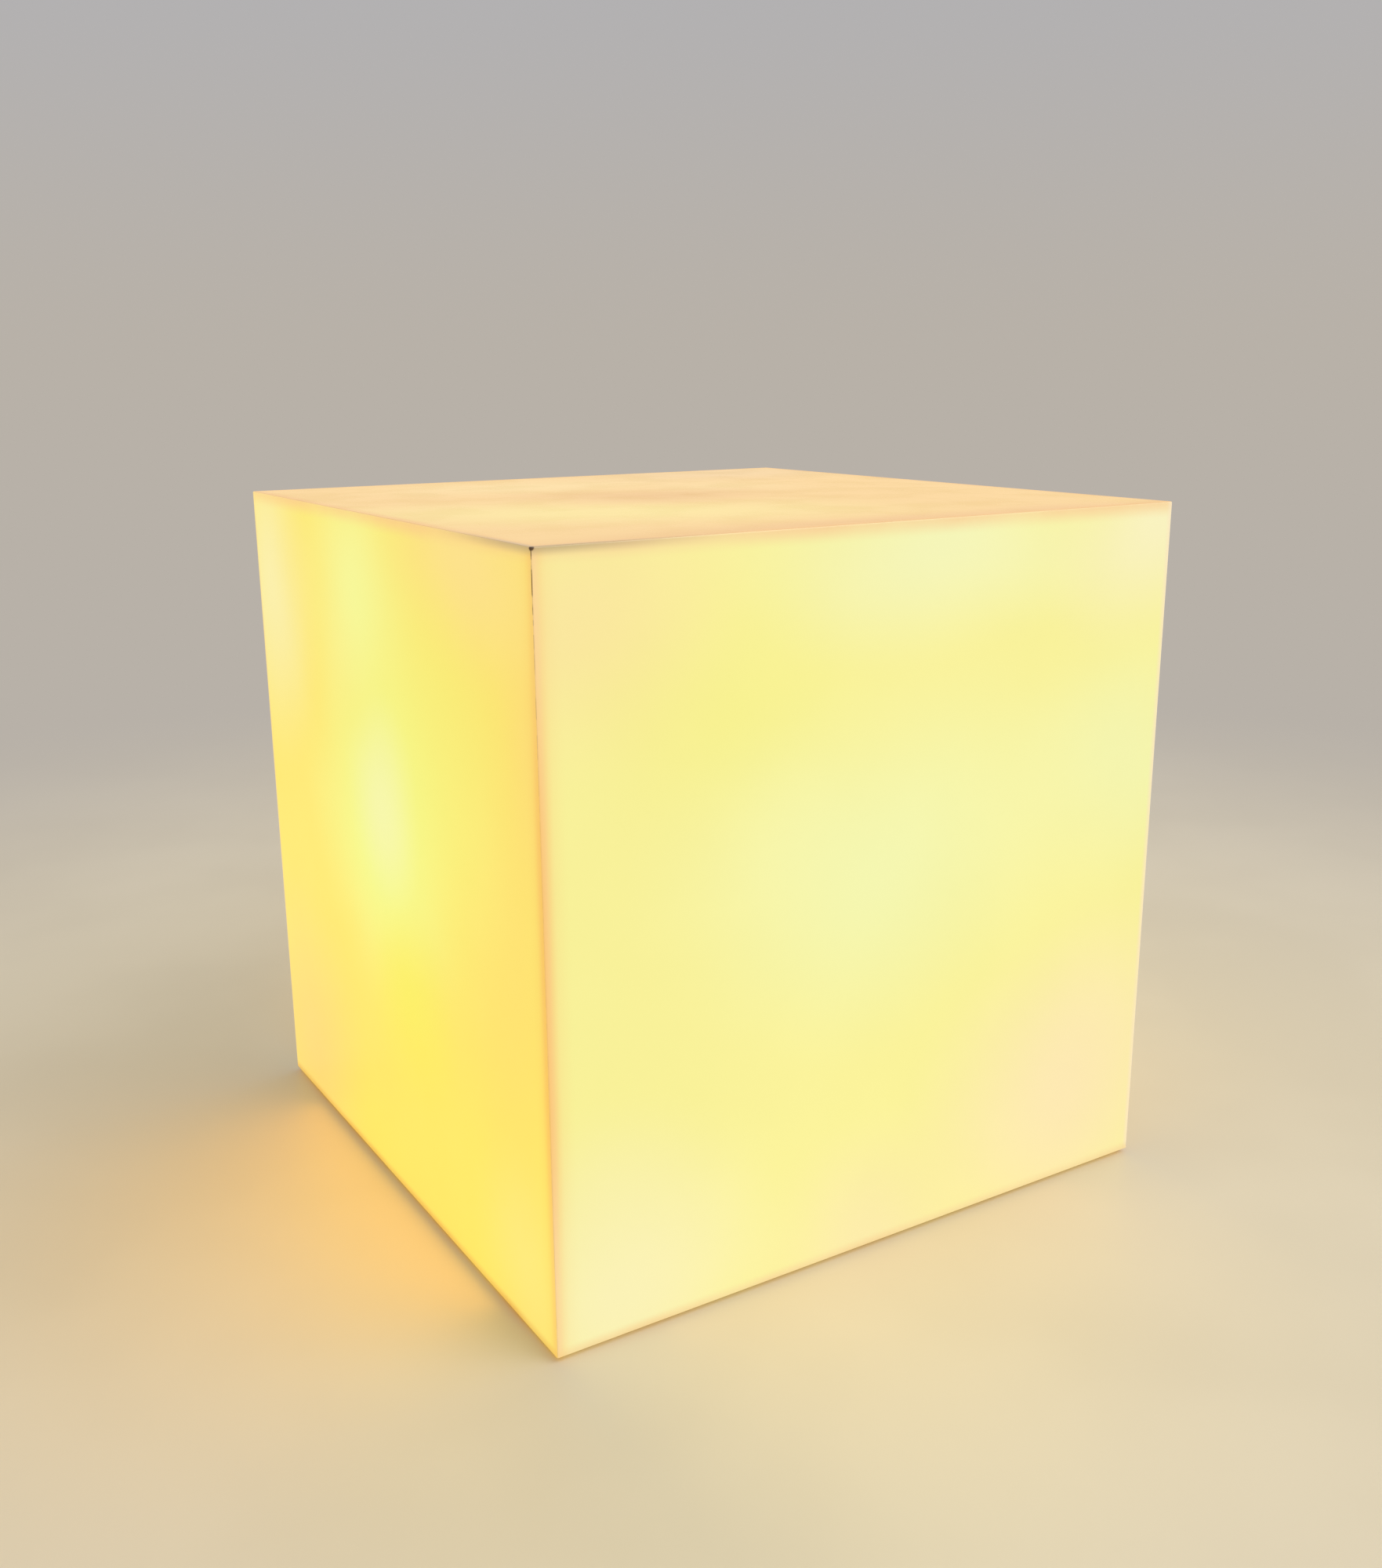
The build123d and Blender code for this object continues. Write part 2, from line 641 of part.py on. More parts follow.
with BuildPart() as lampholder_sleeve:
    with BuildSketch(Plane.XZ):
        with BuildLine():
            FilletPolyline(
                (sleeve_bore, sleeve_bottom),
                (sleeve_radius, sleeve_bottom),
                (sleeve_radius, sleeve_top),
                (lip_radius, sleeve_top),
                (lip_radius, shell_top),
                (sleeve_bore, shell_top),
                radius=[0, 0, sleeve_edge, sleeve_edge, 0, 0],
                close=True,
            )
        make_face()
    revolve(axis=Axis.Z)
    with BuildSketch(Plane.XY.offset(sleeve_bottom + rib_start)):
        with PolarLocations(sleeve_radius, rib_count):
            Rectangle(2 * rib_depth, rib_width)
    extrude(amount=rib_length)
lampholder_sleeve.part.label = "lampholder_sleeve"
export_step(lampholder_sleeve.part, "parts/lampholder_sleeve.step")

with BuildPart() as lampholder_core:
    with BuildSketch(Plane.XY.offset(core_bottom)):
        Circle(core_radius)
        with GridLocations(2 * terminal_x, 0, 2, 1):
            Circle(stud_diameter / 2 + thread_gap, mode=Mode.SUBTRACT)
    extrude(amount=core_height)
    with BuildSketch(Plane.XY.offset(core_top)):
        Circle(well_radius)
    extrude(amount=-well_depth, mode=Mode.SUBTRACT)
lampholder_core.part.label = "lampholder_core"
export_step(lampholder_core.part, "parts/lampholder_core.step")

with BuildPart() as screw_shell:
    with BuildSketch(Plane.XY.offset(core_top)):
        Circle(shell_radius)
        Circle(shell_radius - flange_width, mode=Mode.SUBTRACT)
        tab_start = terminal_x - tab_reach
        with Locations(((tab_start + shell_bore) / 2, 0)):
            Rectangle(shell_bore - tab_start, tab_width)
        with Locations((terminal_x, 0)):
            Circle(stud_diameter / 2 + thread_gap, mode=Mode.SUBTRACT)
    extrude(amount=shell_wall)
    with BuildSketch(Plane.XY.offset(core_top)):
        Circle(shell_radius)
        Circle(shell_bore, mode=Mode.SUBTRACT)
    extrude(amount=shell_height)
screw_shell.part.label = "screw_shell"
export_step(screw_shell.part, "parts/screw_shell.step")

# The strip lies in the core's well, is riveted at the live terminal and springs up under the bulb's contact.
with BuildPart() as centre_contact:
    with BuildSketch(Plane.XZ.offset(-strip_width / 2)):
        with BuildLine():
            Polyline(
                (-terminal_x - strip_overlap, strip_level),
                (-spring_foot, strip_level),
                (-spring_flat, strip_level + spring_rise),
                (spring_flat, strip_level + spring_rise),
                (spring_end, strip_level + spring_rise / 2),
                (spring_end, strip_level + spring_rise / 2 + strip_thickness),
                (spring_flat, strip_level + spring_rise + strip_thickness),
                (-spring_flat, strip_level + spring_rise + strip_thickness),
                (-spring_foot, strip_level + strip_thickness),
                (-terminal_x - strip_overlap, strip_level + strip_thickness),
                close=True,
            )
        make_face()
    extrude(amount=strip_width)
    with BuildSketch(Plane.XY.offset(strip_level)):
        with Locations((-terminal_x, 0)):
            Circle(stud_diameter / 2 + thread_gap)
    extrude(amount=strip_thickness, mode=Mode.SUBTRACT)
centre_contact.part.label = "centre_contact"
export_step(centre_contact.part, "parts/centre_contact.step")

rivet_levels = {
    "live_terminal": (-terminal_x, strip_level + strip_thickness),
    "neutral_terminal": (terminal_x, core_top + shell_wall),
}
for terminal_name, (x, rivet_level) in rivet_levels.items():
    with BuildPart() as terminal:
        with BuildSketch(Plane((x, 0, pillar_bottom))):
            Rectangle(pillar_width, pillar_width)
        extrude(amount=pillar_height)
        with BuildSketch(Plane((x, 0, core_bottom))):
            Circle(stud_diameter / 2)
        extrude(amount=rivet_level - core_bottom)
        with BuildSketch(Plane((x, 0, rivet_level))):
            Circle(rivet_diameter / 2)
        extrude(amount=rivet_height)
        with BuildSketch(Plane((x, 0, pillar_bottom))):
            Circle(pillar_bore / 2)
        extrude(amount=pillar_grip + hole_spare, mode=Mode.SUBTRACT)
        with BuildSketch(Plane.XZ.offset(pillar_width / 2)):
            with Locations((x, pillar_bottom + pillar_grip / 2)):
                Circle(grub_screw / 2 + thread_gap)
        extrude(amount=-pillar_width / 2, mode=Mode.SUBTRACT)
    terminal.part.label = terminal_name
    export_step(terminal.part, f"parts/{terminal_name}.step")

with BuildPart() as lampholder_terminal_screws:
    with BuildSketch(Plane.XZ.offset(lead_diameter / 2 + thread_gap)):
        with Locations((0, pillar_bottom + pillar_grip / 2)):
            with GridLocations(2 * terminal_x, 0, 2, 1):
                Circle(grub_screw / 2)
    extrude(amount=pillar_width / 2 - lead_diameter / 2 - thread_gap)
    with BuildSketch(Plane.XZ.offset(pillar_width / 2)):
        with Locations((0, pillar_bottom + pillar_grip / 2)):
            with GridLocations(2 * terminal_x, 0, 2, 1):
                Circle(grub_head / 2)
    extrude(amount=grub_head_height)
lampholder_terminal_screws.part.label = "lampholder_terminal_screws"
export_step(lampholder_terminal_screws.part, "parts/lampholder_terminal_screws.step")

# ---- Bulb --------------------------------------------------------------------------------------------------
with BuildPart() as bulb_contact:
    with BuildSketch(Plane.XY.offset(bulb_tip)):
        Circle(contact_diameter / 2)
    extrude(amount=contact_height)
    fillet(bulb_contact.edges().sort_by(Axis.Z)[0], radius=contact_height / 2)
bulb_contact.part.label = "bulb_contact"
export_step(bulb_contact.part, "parts/bulb_contact.step")

with BuildPart() as bulb_insulator:
    with Locations((0, 0, bulb_tip + contact_height)):
        Cone(
            contact_diameter / 2,
            insulator_diameter / 2,
            insulator_height,
            align=(Align.CENTER, Align.CENTER, Align.MIN),
        )
bulb_insulator.part.label = "bulb_insulator"
export_step(bulb_insulator.part, "parts/bulb_insulator.step")

with BuildPart() as bulb_cap:
    with BuildSketch(Plane.XZ):
        with BuildLine():
            Polyline(
                (insulator_diameter / 2 - lamp_cap_wall, insulator_top),
                (insulator_diameter / 2, insulator_top),
                (lamp_cap_radius, insulator_top + shoulder_height),
                (lamp_cap_radius, lamp_cap_top - rim_height),
                (lamp_cap_radius + rim_flare, lamp_cap_top),
                (lamp_cap_bore + rim_flare, lamp_cap_top),
                (lamp_cap_bore, lamp_cap_top - rim_height),
                (lamp_cap_bore, insulator_top + shoulder_height + lamp_cap_wall),
                (insulator_diameter / 2 - lamp_cap_wall, insulator_top + lamp_cap_wall),
                close=True,
            )
        make_face()
    revolve(axis=Axis.Z)
bulb_cap.part.label = "bulb_cap"
export_step(bulb_cap.part, "parts/bulb_cap.step")


def envelope_form(inset):
    """The section of the glass envelope drawn in by inset: a straight neck, a flared curve and a globe."""
    radius = globe_radius - inset
    tangent = math.radians(globe_tangent)
    neck_end = (neck_radius - inset, lamp_cap_top + neck_straight)
    globe_start = (radius * math.cos(tangent), globe_middle - radius * math.sin(tangent))
    with BuildSketch(Plane.XZ) as section:
        with BuildLine():
            Polyline((0, globe_middle + radius), (0, neck_bottom), (neck_end[0], neck_bottom), neck_end)
            Spline(neck_end, globe_start, tangents=[(0, 1), (math.sin(tangent), math.cos(tangent))])
            CenterArc((0, globe_middle), radius, -globe_tangent, 90 + globe_tangent)
        make_face()
    return section.sketch


with BuildPart() as bulb_glass:
    add(envelope_form(0))
    revolve(axis=Axis.Z)
    add(envelope_form(glass_wall))
    revolve(axis=Axis.Z, mode=Mode.SUBTRACT)
bulb_glass.part.label = "bulb_glass"
export_step(bulb_glass.part, "parts/bulb_glass.step")

with BuildPart() as bulb_stem:
    flare_radius = neck_radius - glass_wall - stem_play
    rod_top = filament_top + filament_gap + wire_diameter
    with BuildSketch(Plane.XZ):
        with BuildLine():
            Polyline(
                (0, neck_bottom),
                (flare_radius, neck_bottom),
                (flare_radius, neck_bottom + glass_wall),
                (stem_radius, neck_bottom + stem_flare_height),
                (stem_radius, neck_bottom + stem_height),
                (rod_radius, neck_bottom + stem_height + stem_radius),
                (rod_radius, rod_top),
                (0, rod_top),
                close=True,
            )
        make_face()
    revolve(axis=Axis.Z)
bulb_stem.part.label = "bulb_stem"
export_step(bulb_stem.part, "parts/bulb_stem.step")

for number in range(filament_count):
    along = Vector(1, 0, 0).rotate(Axis.Z, number * 360 / filament_count)
    low_end = along * filament_low_radius + Vector(0, 0, filament_bottom)
    top_end = along * filament_top_radius + Vector(0, 0, filament_top)
    with BuildPart() as filament:
        with BuildSketch(Plane(origin=low_end, z_dir=top_end - low_end)):
            Circle(filament_diameter / 2)
        extrude(amount=(top_end - low_end).length)
    filament.part.label = f"filament_{number + 1}"
    export_step(filament.part, f"parts/filament_{number + 1}.step")

# Each arm runs from the glass rod to the end of a filament, one row of arms below and one row above.
with BuildPart() as filament_wires:
    filament_lean = math.atan2(filament_low_radius - filament_top_radius, filament_length)
    arm_offset = filament_diameter / 2 * math.sin(filament_lean) + filament_gap + wire_diameter / 2
    arm_ends = [
        (filament_low_radius, filament_bottom - arm_offset),
        (filament_top_radius, filament_top + arm_offset),
    ]
    for reach, level in arm_ends:
        for number in range(filament_count):
            along = Vector(1, 0, 0).rotate(Axis.Z, number * 360 / filament_count)
            arm_start = along * (rod_radius + thread_gap) + Vector(0, 0, level)
            with BuildSketch(Plane(origin=arm_start, z_dir=along)):
                Circle(wire_diameter / 2)
            extrude(amount=reach - rod_radius)
filament_wires.part.label = "filament_wires"
export_step(filament_wires.part, "parts/filament_wires.step")

with BuildPart() as driver_board:
    with BuildSketch(Plane.XY.offset(bulb_tip + board_height)):
        Circle(lamp_cap_bore - board_play)
    extrude(amount=board_thickness)
driver_board.part.label = "driver_board"
export_step(driver_board.part, "parts/driver_board.step")

with BuildPart() as driver_capacitor:
    with BuildSketch(Plane.XY.offset(bulb_tip + board_height + board_thickness)):
        with Locations((capacitor_x, 0)):
            Circle(capacitor_diameter / 2)
    extrude(amount=capacitor_length)
    fillet(driver_capacitor.edges().sort_by(Axis.Z)[-1], radius=capacitor_edge)
driver_capacitor.part.label = "driver_capacitor"
export_step(driver_capacitor.part, "parts/driver_capacitor.step")
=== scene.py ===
import json
import math

import bpy
from mathutils import Matrix, Vector

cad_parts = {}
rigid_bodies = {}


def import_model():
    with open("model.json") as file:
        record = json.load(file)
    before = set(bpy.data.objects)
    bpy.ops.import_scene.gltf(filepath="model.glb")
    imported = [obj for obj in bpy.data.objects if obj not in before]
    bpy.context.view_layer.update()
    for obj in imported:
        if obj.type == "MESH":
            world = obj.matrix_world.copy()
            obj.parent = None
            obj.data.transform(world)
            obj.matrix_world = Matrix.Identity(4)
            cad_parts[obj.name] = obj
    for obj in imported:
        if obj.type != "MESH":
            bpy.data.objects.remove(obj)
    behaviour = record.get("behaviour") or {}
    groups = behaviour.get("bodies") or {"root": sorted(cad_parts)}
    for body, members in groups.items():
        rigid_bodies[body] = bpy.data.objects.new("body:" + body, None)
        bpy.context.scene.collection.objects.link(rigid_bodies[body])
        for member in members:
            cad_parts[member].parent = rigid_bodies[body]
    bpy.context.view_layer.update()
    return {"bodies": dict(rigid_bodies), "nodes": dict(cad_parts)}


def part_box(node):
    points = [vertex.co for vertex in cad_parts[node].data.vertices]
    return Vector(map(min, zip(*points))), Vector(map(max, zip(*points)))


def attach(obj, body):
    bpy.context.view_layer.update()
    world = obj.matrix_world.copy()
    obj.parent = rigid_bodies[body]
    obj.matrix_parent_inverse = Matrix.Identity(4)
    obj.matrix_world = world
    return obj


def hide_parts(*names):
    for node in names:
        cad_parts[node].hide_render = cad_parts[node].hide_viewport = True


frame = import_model()

# ---- Camera ------------------------------------------------------------------------------------------------
# The cube is seen from its front left corner and a little from above. The place and the angles come from its
# seven corners in the photograph, whose frame is 1763 by 2000 and has no shift.
lens_length = 35.63
camera_place = Vector((-0.2481, -0.4025, 0.2379))
camera_turn = math.radians(31.9)  # from +Y towards +X
camera_dip = math.radians(14.92)
camera_roll = math.radians(-0.41)

bpy.ops.object.camera_add(location=camera_place)
camera = bpy.context.object
turned = Matrix.Rotation(-camera_turn, 3, "Z")
tilted = Matrix.Rotation(math.pi / 2 - camera_dip, 3, "X")
rolled = Matrix.Rotation(camera_roll, 3, "Z")
camera.rotation_euler = (turned @ tilted @ rolled).to_euler()
camera.data.lens = lens_length
bpy.context.scene.camera = camera
bpy.context.scene.view_settings.view_transform = "Standard"

# ---- Floor and backdrop ------------------------------------------------------------------------------------
# A pale painted floor, brushed on and faintly clouded. It fades into the grey of the backdrop a little way
# behind the cube, so that no horizon shows.


def shown(red, green, blue):
    """A colour as it shows, in steps of 0 to 255, as the linear values that a shader takes."""
    linear = []
    for step in (red, green, blue):
        part = step / 255
        linear.append(part / 12.92 if part <= 0.04045 else ((part + 0.055) / 1.055) ** 2.4)
    return (*linear, 1.0)


def put(tree, kind, inputs=None, **settings):
    """Adds a shader node, sets it up, and joins or sets its inputs by name or number."""
    made = tree.nodes.new("ShaderNode" + kind)
    for name, value in settings.items():
        setattr(made, name, value)
    for name, value in (inputs or {}).items():
        if isinstance(value, bpy.types.NodeSocket):
            tree.links.new(value, made.inputs[name])
        else:
            made.inputs[name].default_value = value
    return made


def calc(tree, operation, *values):
    """One sum on one to three numbers."""
    return put(tree, "Math", dict(enumerate(values)), operation=operation).outputs[0]


def ease(tree, value, near, far, at_near=0.0, at_far=1.0):
    """Goes smoothly from one number to another while a value goes from near to far."""
    inputs = {"Value": value, "From Min": near, "From Max": far, "To Min": at_near, "To Max": at_far}
    return put(tree, "MapRange", inputs, interpolation_type="SMOOTHSTEP").outputs["Result"]


def blend_tones(tree, amount, first, second):
    """Mixes two colours by an amount."""
    return put(tree, "Mix", {0: amount, 6: first, 7: second}, data_type="RGBA").outputs[2]


def looked_at(tree):
    """Is 1 for what the camera sees, plainly, in a gloss or through glass, and 0 for light on the object."""
    path = put(tree, "LightPath").outputs
    seen = calc(tree, "MAXIMUM", path["Is Camera Ray"], path["Is Glossy Ray"])
    return calc(tree, "MAXIMUM", seen, path["Is Transmission Ray"])


floor_tone = shown(224, 211, 186)
floor_cloud_tone = shown(217, 204, 179)
floor_size = 8.0
horizon_tone = shown(184, 177, 168)
backdrop_tone = shown(178, 177, 179)
backdrop_rise = 0.26  # sine of the height at which the backdrop has its own tone
fade_start = 0.24  # from the middle of the cube
fade_end = 0.75
daylight_tint = (0.98, 0.99, 1.0, 1.0)
daylight_way = (0.62, -0.62, 0.48)  # towards the brightest part of the sky
dim_side, dim_strength = -0.6, 0.16
bright_side, bright_strength = 0.95, 1.2

world = bpy.data.worlds.new("studio")
bpy.context.scene.world = world
world.use_nodes = True
sky = world.node_tree
sky.nodes.clear()
sky_way = put(sky, "TexCoord").outputs["Generated"]
sky_side = put(sky, "VectorMath", {0: sky_way, 1: daylight_way}, operation="DOT_PRODUCT").outputs["Value"]
sky_strength = ease(sky, sky_side, dim_side, bright_side, dim_strength, bright_strength)
sky_light = put(sky, "Background", {"Color": daylight_tint, "Strength": sky_strength})
sky_height = put(sky, "SeparateXYZ", {0: sky_way}).outputs[2]
sky_tone = blend_tones(sky, ease(sky, sky_height, 0.0, backdrop_rise), horizon_tone, backdrop_tone)
sky_seen = put(sky, "Background", {"Color": sky_tone, "Strength": 1.0})
sky_mix = put(sky, "MixShader", {0: looked_at(sky), 1: sky_light.outputs[0], 2: sky_seen.outputs[0]})
put(sky, "OutputWorld", {"Surface": sky_mix.outputs[0]})

bpy.ops.mesh.primitive_plane_add(size=floor_size)
floor = bpy.context.object
floor.name = "floor"
floor_finish = bpy.data.materials.new("floor_paint")
floor_finish.use_nodes = True
paint = floor_finish.node_tree
paint.nodes.clear()
floor_place = put(paint, "TexCoord").outputs["Object"]
floor_reach = put(paint, "VectorMath", {0: floor_place}, operation="LENGTH").outputs["Value"]
floor_cloud = put(paint, "TexNoise", {"Vector": floor_place, "Scale": 6.0, "Detail": 3.0}).outputs[0]
floor_mix = blend_tones(paint, ease(paint, floor_cloud, 0.35, 0.65), floor_tone, floor_cloud_tone)
floor_brush = put(paint, "TexNoise", {"Vector": floor_place, "Scale": 60.0, "Detail": 4.0}).outputs[0]
floor_bump = put(paint, "Bump", {"Height": floor_brush, "Strength": 0.15, "Distance": 0.0008})
floor_inputs = {"Base Color": floor_mix, "Roughness": 0.42, "Normal": floor_bump.outputs[0]}
floor_coat = put(paint, "BsdfPrincipled", floor_inputs)
floor_seen = put(paint, "Emission", {"Color": horizon_tone, "Strength": 1.0})
floor_fade = calc(paint, "MULTIPLY", ease(paint, floor_reach, fade_start, fade_end), looked_at(paint))
floor_shader = put(paint, "MixShader", {0: floor_fade, 1: floor_coat.outputs[0], 2: floor_seen.outputs[0]})
put(paint, "OutputMaterial", {"Surface": floor_shader.outputs[0]})
floor.data.materials.append(floor_finish)

# ---- Lamps -------------------------------------------------------------------------------------------------
# Soft daylight from the right of the front and a weaker one from the left, from large lamps a good way off.
# Small warm lamps beside the shade stand for its glow on the floor.
lamps = {
    "daylight_right": {"place": (0.9, -1.3, 2.0), "size": 1.4, "power": 13.0, "tint": (1.0, 0.98, 0.95)},
    "daylight_left": {"place": (-1.8, -0.3, 1.4), "size": 1.6, "power": 0.8, "tint": (0.94, 0.97, 1.0)},
}
lamp_target = Vector((0, 0, 0.1))
for lamp_name, lamp_facts in lamps.items():
    bpy.ops.object.light_add(type="AREA", location=lamp_facts["place"])
    lamp = bpy.context.object
    lamp.name = lamp_name
    lamp.rotation_euler = (lamp_target - Vector(lamp_facts["place"])).to_track_quat("-Z", "Y").to_euler()
    lamp.data.size = lamp_facts["size"]
    lamp.data.energy = lamp_facts["power"]
    lamp.data.color = lamp_facts["tint"]

# What the lit shade throws on the floor: one flat warm lamp just outside each side, which leans over the
# floor and is carried by the shade.
glow_tint = (1.0, 0.45, 0.01)
glow_powers = {"front": 0.012, "right": 0.01, "back": 0.03, "left": 0.052}
glow_ways = {"front": (0, -1, 0), "right": (1, 0, 0), "back": (0, 1, 0), "left": (-1, 0, 0)}
glow_from_axis = 0.1015
glow_foot = 0.003
glow_lean = math.radians(17)
glow_width = 0.14
glow_rise = 0.11
glow_out = glow_from_axis + glow_rise / 2 * math.sin(glow_lean)
glow_height = glow_foot + glow_rise / 2 * math.cos(glow_lean)
for side, power in glow_powers.items():
    glow_way = Vector(glow_ways[side])
    bpy.ops.object.light_add(type="AREA", location=glow_way * glow_out + Vector((0, 0, glow_height)))
    glow_lamp = bpy.context.object
    glow_lamp.name = "glow_" + side
    glow_aim = glow_way * math.cos(glow_lean) - Vector((0, 0, math.sin(glow_lean)))
    glow_lamp.rotation_euler = glow_aim.to_track_quat("-Z", "Y").to_euler()
    glow_lamp.data.shape = "RECTANGLE"
    glow_lamp.data.size = glow_width
    glow_lamp.data.size_y = glow_rise
    glow_lamp.data.energy = power
    glow_lamp.data.color = glow_tint
    glow_lamp.visible_camera = False
    glow_lamp.visible_glossy = False
    glow_lamp.parent = frame["bodies"]["shade"]
    glow_lamp.matrix_parent_inverse = Matrix.Identity(4)

# ---- Base plate --------------------------------------------------------------------------------------------
# A square of opal acrylic sheet with sawn and scraped edges and faint hairline scratches. The housing under
# the lampholder is screwed to it, and the shade's corner blocks rest on it.


def begin_finish(name, **sockets):
    """A finish with one principled shader, whose plain sockets are set here by name."""
    finish = bpy.data.materials.new(name)
    finish.use_nodes = True
    shader = finish.node_tree.nodes["Principled BSDF"]
    for socket, value in sockets.items():
        shader.inputs[socket.replace("_", " ")].default_value = value
    return finish


def wire(finish, **sources):
    """Joins outputs of nodes to the sockets of a finish's shader."""
    shader = finish.node_tree.nodes["Principled BSDF"]
    for socket, source in sources.items():
        finish.node_tree.links.new(source, shader.inputs[socket.replace("_", " ")])


def noise(tree, size, detail=3.0, stretch=(1.0, 1.0, 1.0), roughness=0.5):
    """Noise with lumps of about the given size, in metres, on the piece's own coordinates."""
    place = put(tree, "TexCoord").outputs["Object"]
    scaled = put(tree, "Mapping", {"Vector": place, "Scale": [part / size for part in stretch]}).outputs[0]
    inputs = {"Vector": scaled, "Scale": 1.0, "Detail": detail, "Roughness": roughness}
    return put(tree, "TexNoise", inputs).outputs[0]


def dress(finish, *nodes):
    """Gives a finish to pieces that are shown as they come from the frame."""
    for name in nodes:
        for material_slot in frame["nodes"][name].material_slots:
            material_slot.material = finish


def sheet_finish(name, clear_tone, cloudy_tone):
    """Unlit acrylic sheet: a faint cloud in its colour, and hairline scratches in its polish."""
    finish = begin_finish(name, Specular_IOR_Level=0.5, IOR=1.49)
    tree = finish.node_tree
    cloud = ease(tree, noise(tree, 0.05), 0.35, 0.65)
    scratches = noise(tree, 0.0006, 2.0, (1.0, 0.03, 1.0))
    wire(finish, Base_Color=blend_tones(tree, cloud, clear_tone, cloudy_tone))
    wire(finish, Roughness=ease(tree, scratches, 0.55, 0.8, 0.18, 0.26))
    bump = put(tree, "Bump", {"Height": noise(tree, 0.012), "Strength": 0.08, "Distance": 0.0003})
    wire(finish, Normal=bump.outputs[0])
    return finish


dress(sheet_finish("opal_sheet", shown(226, 220, 204), shown(216, 209, 190)), "base_plate")

# ---- Feet --------------------------------------------------------------------------------------------------
# Four round pads, die-cut from black rubber sheet and stuck under the plate. The rubber has a fine grain and
# a little dust on it.
corners = ("front_left", "front_right", "back_left", "back_right")


def rubber_finish(name, dark_tone, dusty_tone):
    """Black rubber: dull, finely grained and dusty in spots."""
    finish = begin_finish(name, Specular_IOR_Level=0.25)
    tree = finish.node_tree
    dust = ease(tree, noise(tree, 0.004, 4.0), 0.45, 0.75)
    grain = noise(tree, 0.0005, 2.0)
    wire(finish, Base_Color=blend_tones(tree, dust, dark_tone, dusty_tone))
    wire(finish, Roughness=ease(tree, grain, 0.3, 0.7, 0.75, 0.95))
    bump = put(tree, "Bump", {"Height": grain, "Strength": 0.4, "Distance": 0.0001})
    wire(finish, Normal=bump.outputs[0])
    return finish


pad_rubber = rubber_finish("pad_rubber", shown(38, 37, 36), shown(86, 82, 76))
dress(pad_rubber, *["foot_" + corner for corner in corners])

# ---- Terminal housing --------------------------------------------------------------------------------------
# A thin round cover, moulded in white plastic with a fine spark-eroded grain. It is screwed to the plate from
# below, and covers the terminal block.


def moulded_finish(name, fresh_tone, aged_tone, grain_size, shine=0.45, depth=0.00004):
    """Moulded plastic: a fine grain, an uneven shine and a slow drift between a fresh and an aged tone."""
    finish = begin_finish(name, Specular_IOR_Level=0.45)
    tree = finish.node_tree
    drift = ease(tree, noise(tree, 0.03), 0.3, 0.7)
    grain = noise(tree, grain_size, 2.0)
    wire(finish, Base_Color=blend_tones(tree, drift, fresh_tone, aged_tone))
    wire(finish, Roughness=ease(tree, grain, 0.3, 0.7, shine - 0.06, shine + 0.1))
    bump = put(tree, "Bump", {"Height": grain, "Strength": 0.5, "Distance": depth})
    wire(finish, Normal=bump.outputs[0])
    return finish


housing_plastic = moulded_finish("housing_plastic", shown(232, 230, 224), shown(226, 220, 204), 0.0004)
dress(housing_plastic, "terminal_housing")

# ---- Screws of the housing ---------------------------------------------------------------------------------
# Four countersunk self-tapping screws of zinc plated steel, with a cross recess. They are driven up through
# the plate into the bosses of the housing.


def metal_finish(name, bright_tone, dull_tone, shine, stretch=(1.0, 1.0, 1.0), grain_size=0.0006):
    """Plain or plated metal: tarnish in soft spots and a fine directional grain in its shine."""
    finish = begin_finish(name, Metallic=1.0)
    tree = finish.node_tree
    tarnish = ease(tree, noise(tree, 0.004, 4.0), 0.42, 0.7)
    grain = noise(tree, grain_size, 3.0, stretch)
    wire(finish, Base_Color=blend_tones(tree, tarnish, bright_tone, dull_tone))
    wire(finish, Roughness=ease(tree, grain, 0.3, 0.7, shine, shine + 0.16))
    bump = put(tree, "Bump", {"Height": grain, "Strength": 0.25, "Distance": 0.00002})
    wire(finish, Normal=bump.outputs[0])
    return finish


def draw_line(name, points):
    """Draws a line through points on the plane of X and Z, out of one vertex."""
    bpy.ops.mesh.primitive_plane_add(size=0.001, location=(points[0][0], 0, points[0][1]))
    line = bpy.context.object
    line.name = name
    bpy.ops.object.transform_apply()
    bpy.ops.object.mode_set(mode="EDIT")
    bpy.ops.mesh.select_all(action="SELECT")
    bpy.ops.mesh.merge(type="CENTER")
    for start, end in zip(points, points[1:]):
        step = (end[0] - start[0], 0, end[1] - start[1])
        bpy.ops.mesh.extrude_vertices_move(TRANSFORM_OT_translate={"value": step})
    bpy.ops.object.mode_set(mode="OBJECT")
    return line


def turn_up(name, points, steps=64):
    """Turns a section up round the Z axis, as on a lathe."""
    piece = draw_line(name, points)
    bpy.ops.object.mode_set(mode="EDIT")
    bpy.ops.mesh.select_all(action="SELECT")
    bpy.ops.mesh.spin(steps=steps, angle=2 * math.pi, center=(0, 0, 0), axis=(0, 0, 1))
    bpy.ops.mesh.select_all(action="SELECT")
    bpy.ops.mesh.remove_doubles(threshold=1e-6)
    bpy.ops.mesh.normals_make_consistent(inside=False)
    bpy.ops.object.mode_set(mode="OBJECT")
    return piece


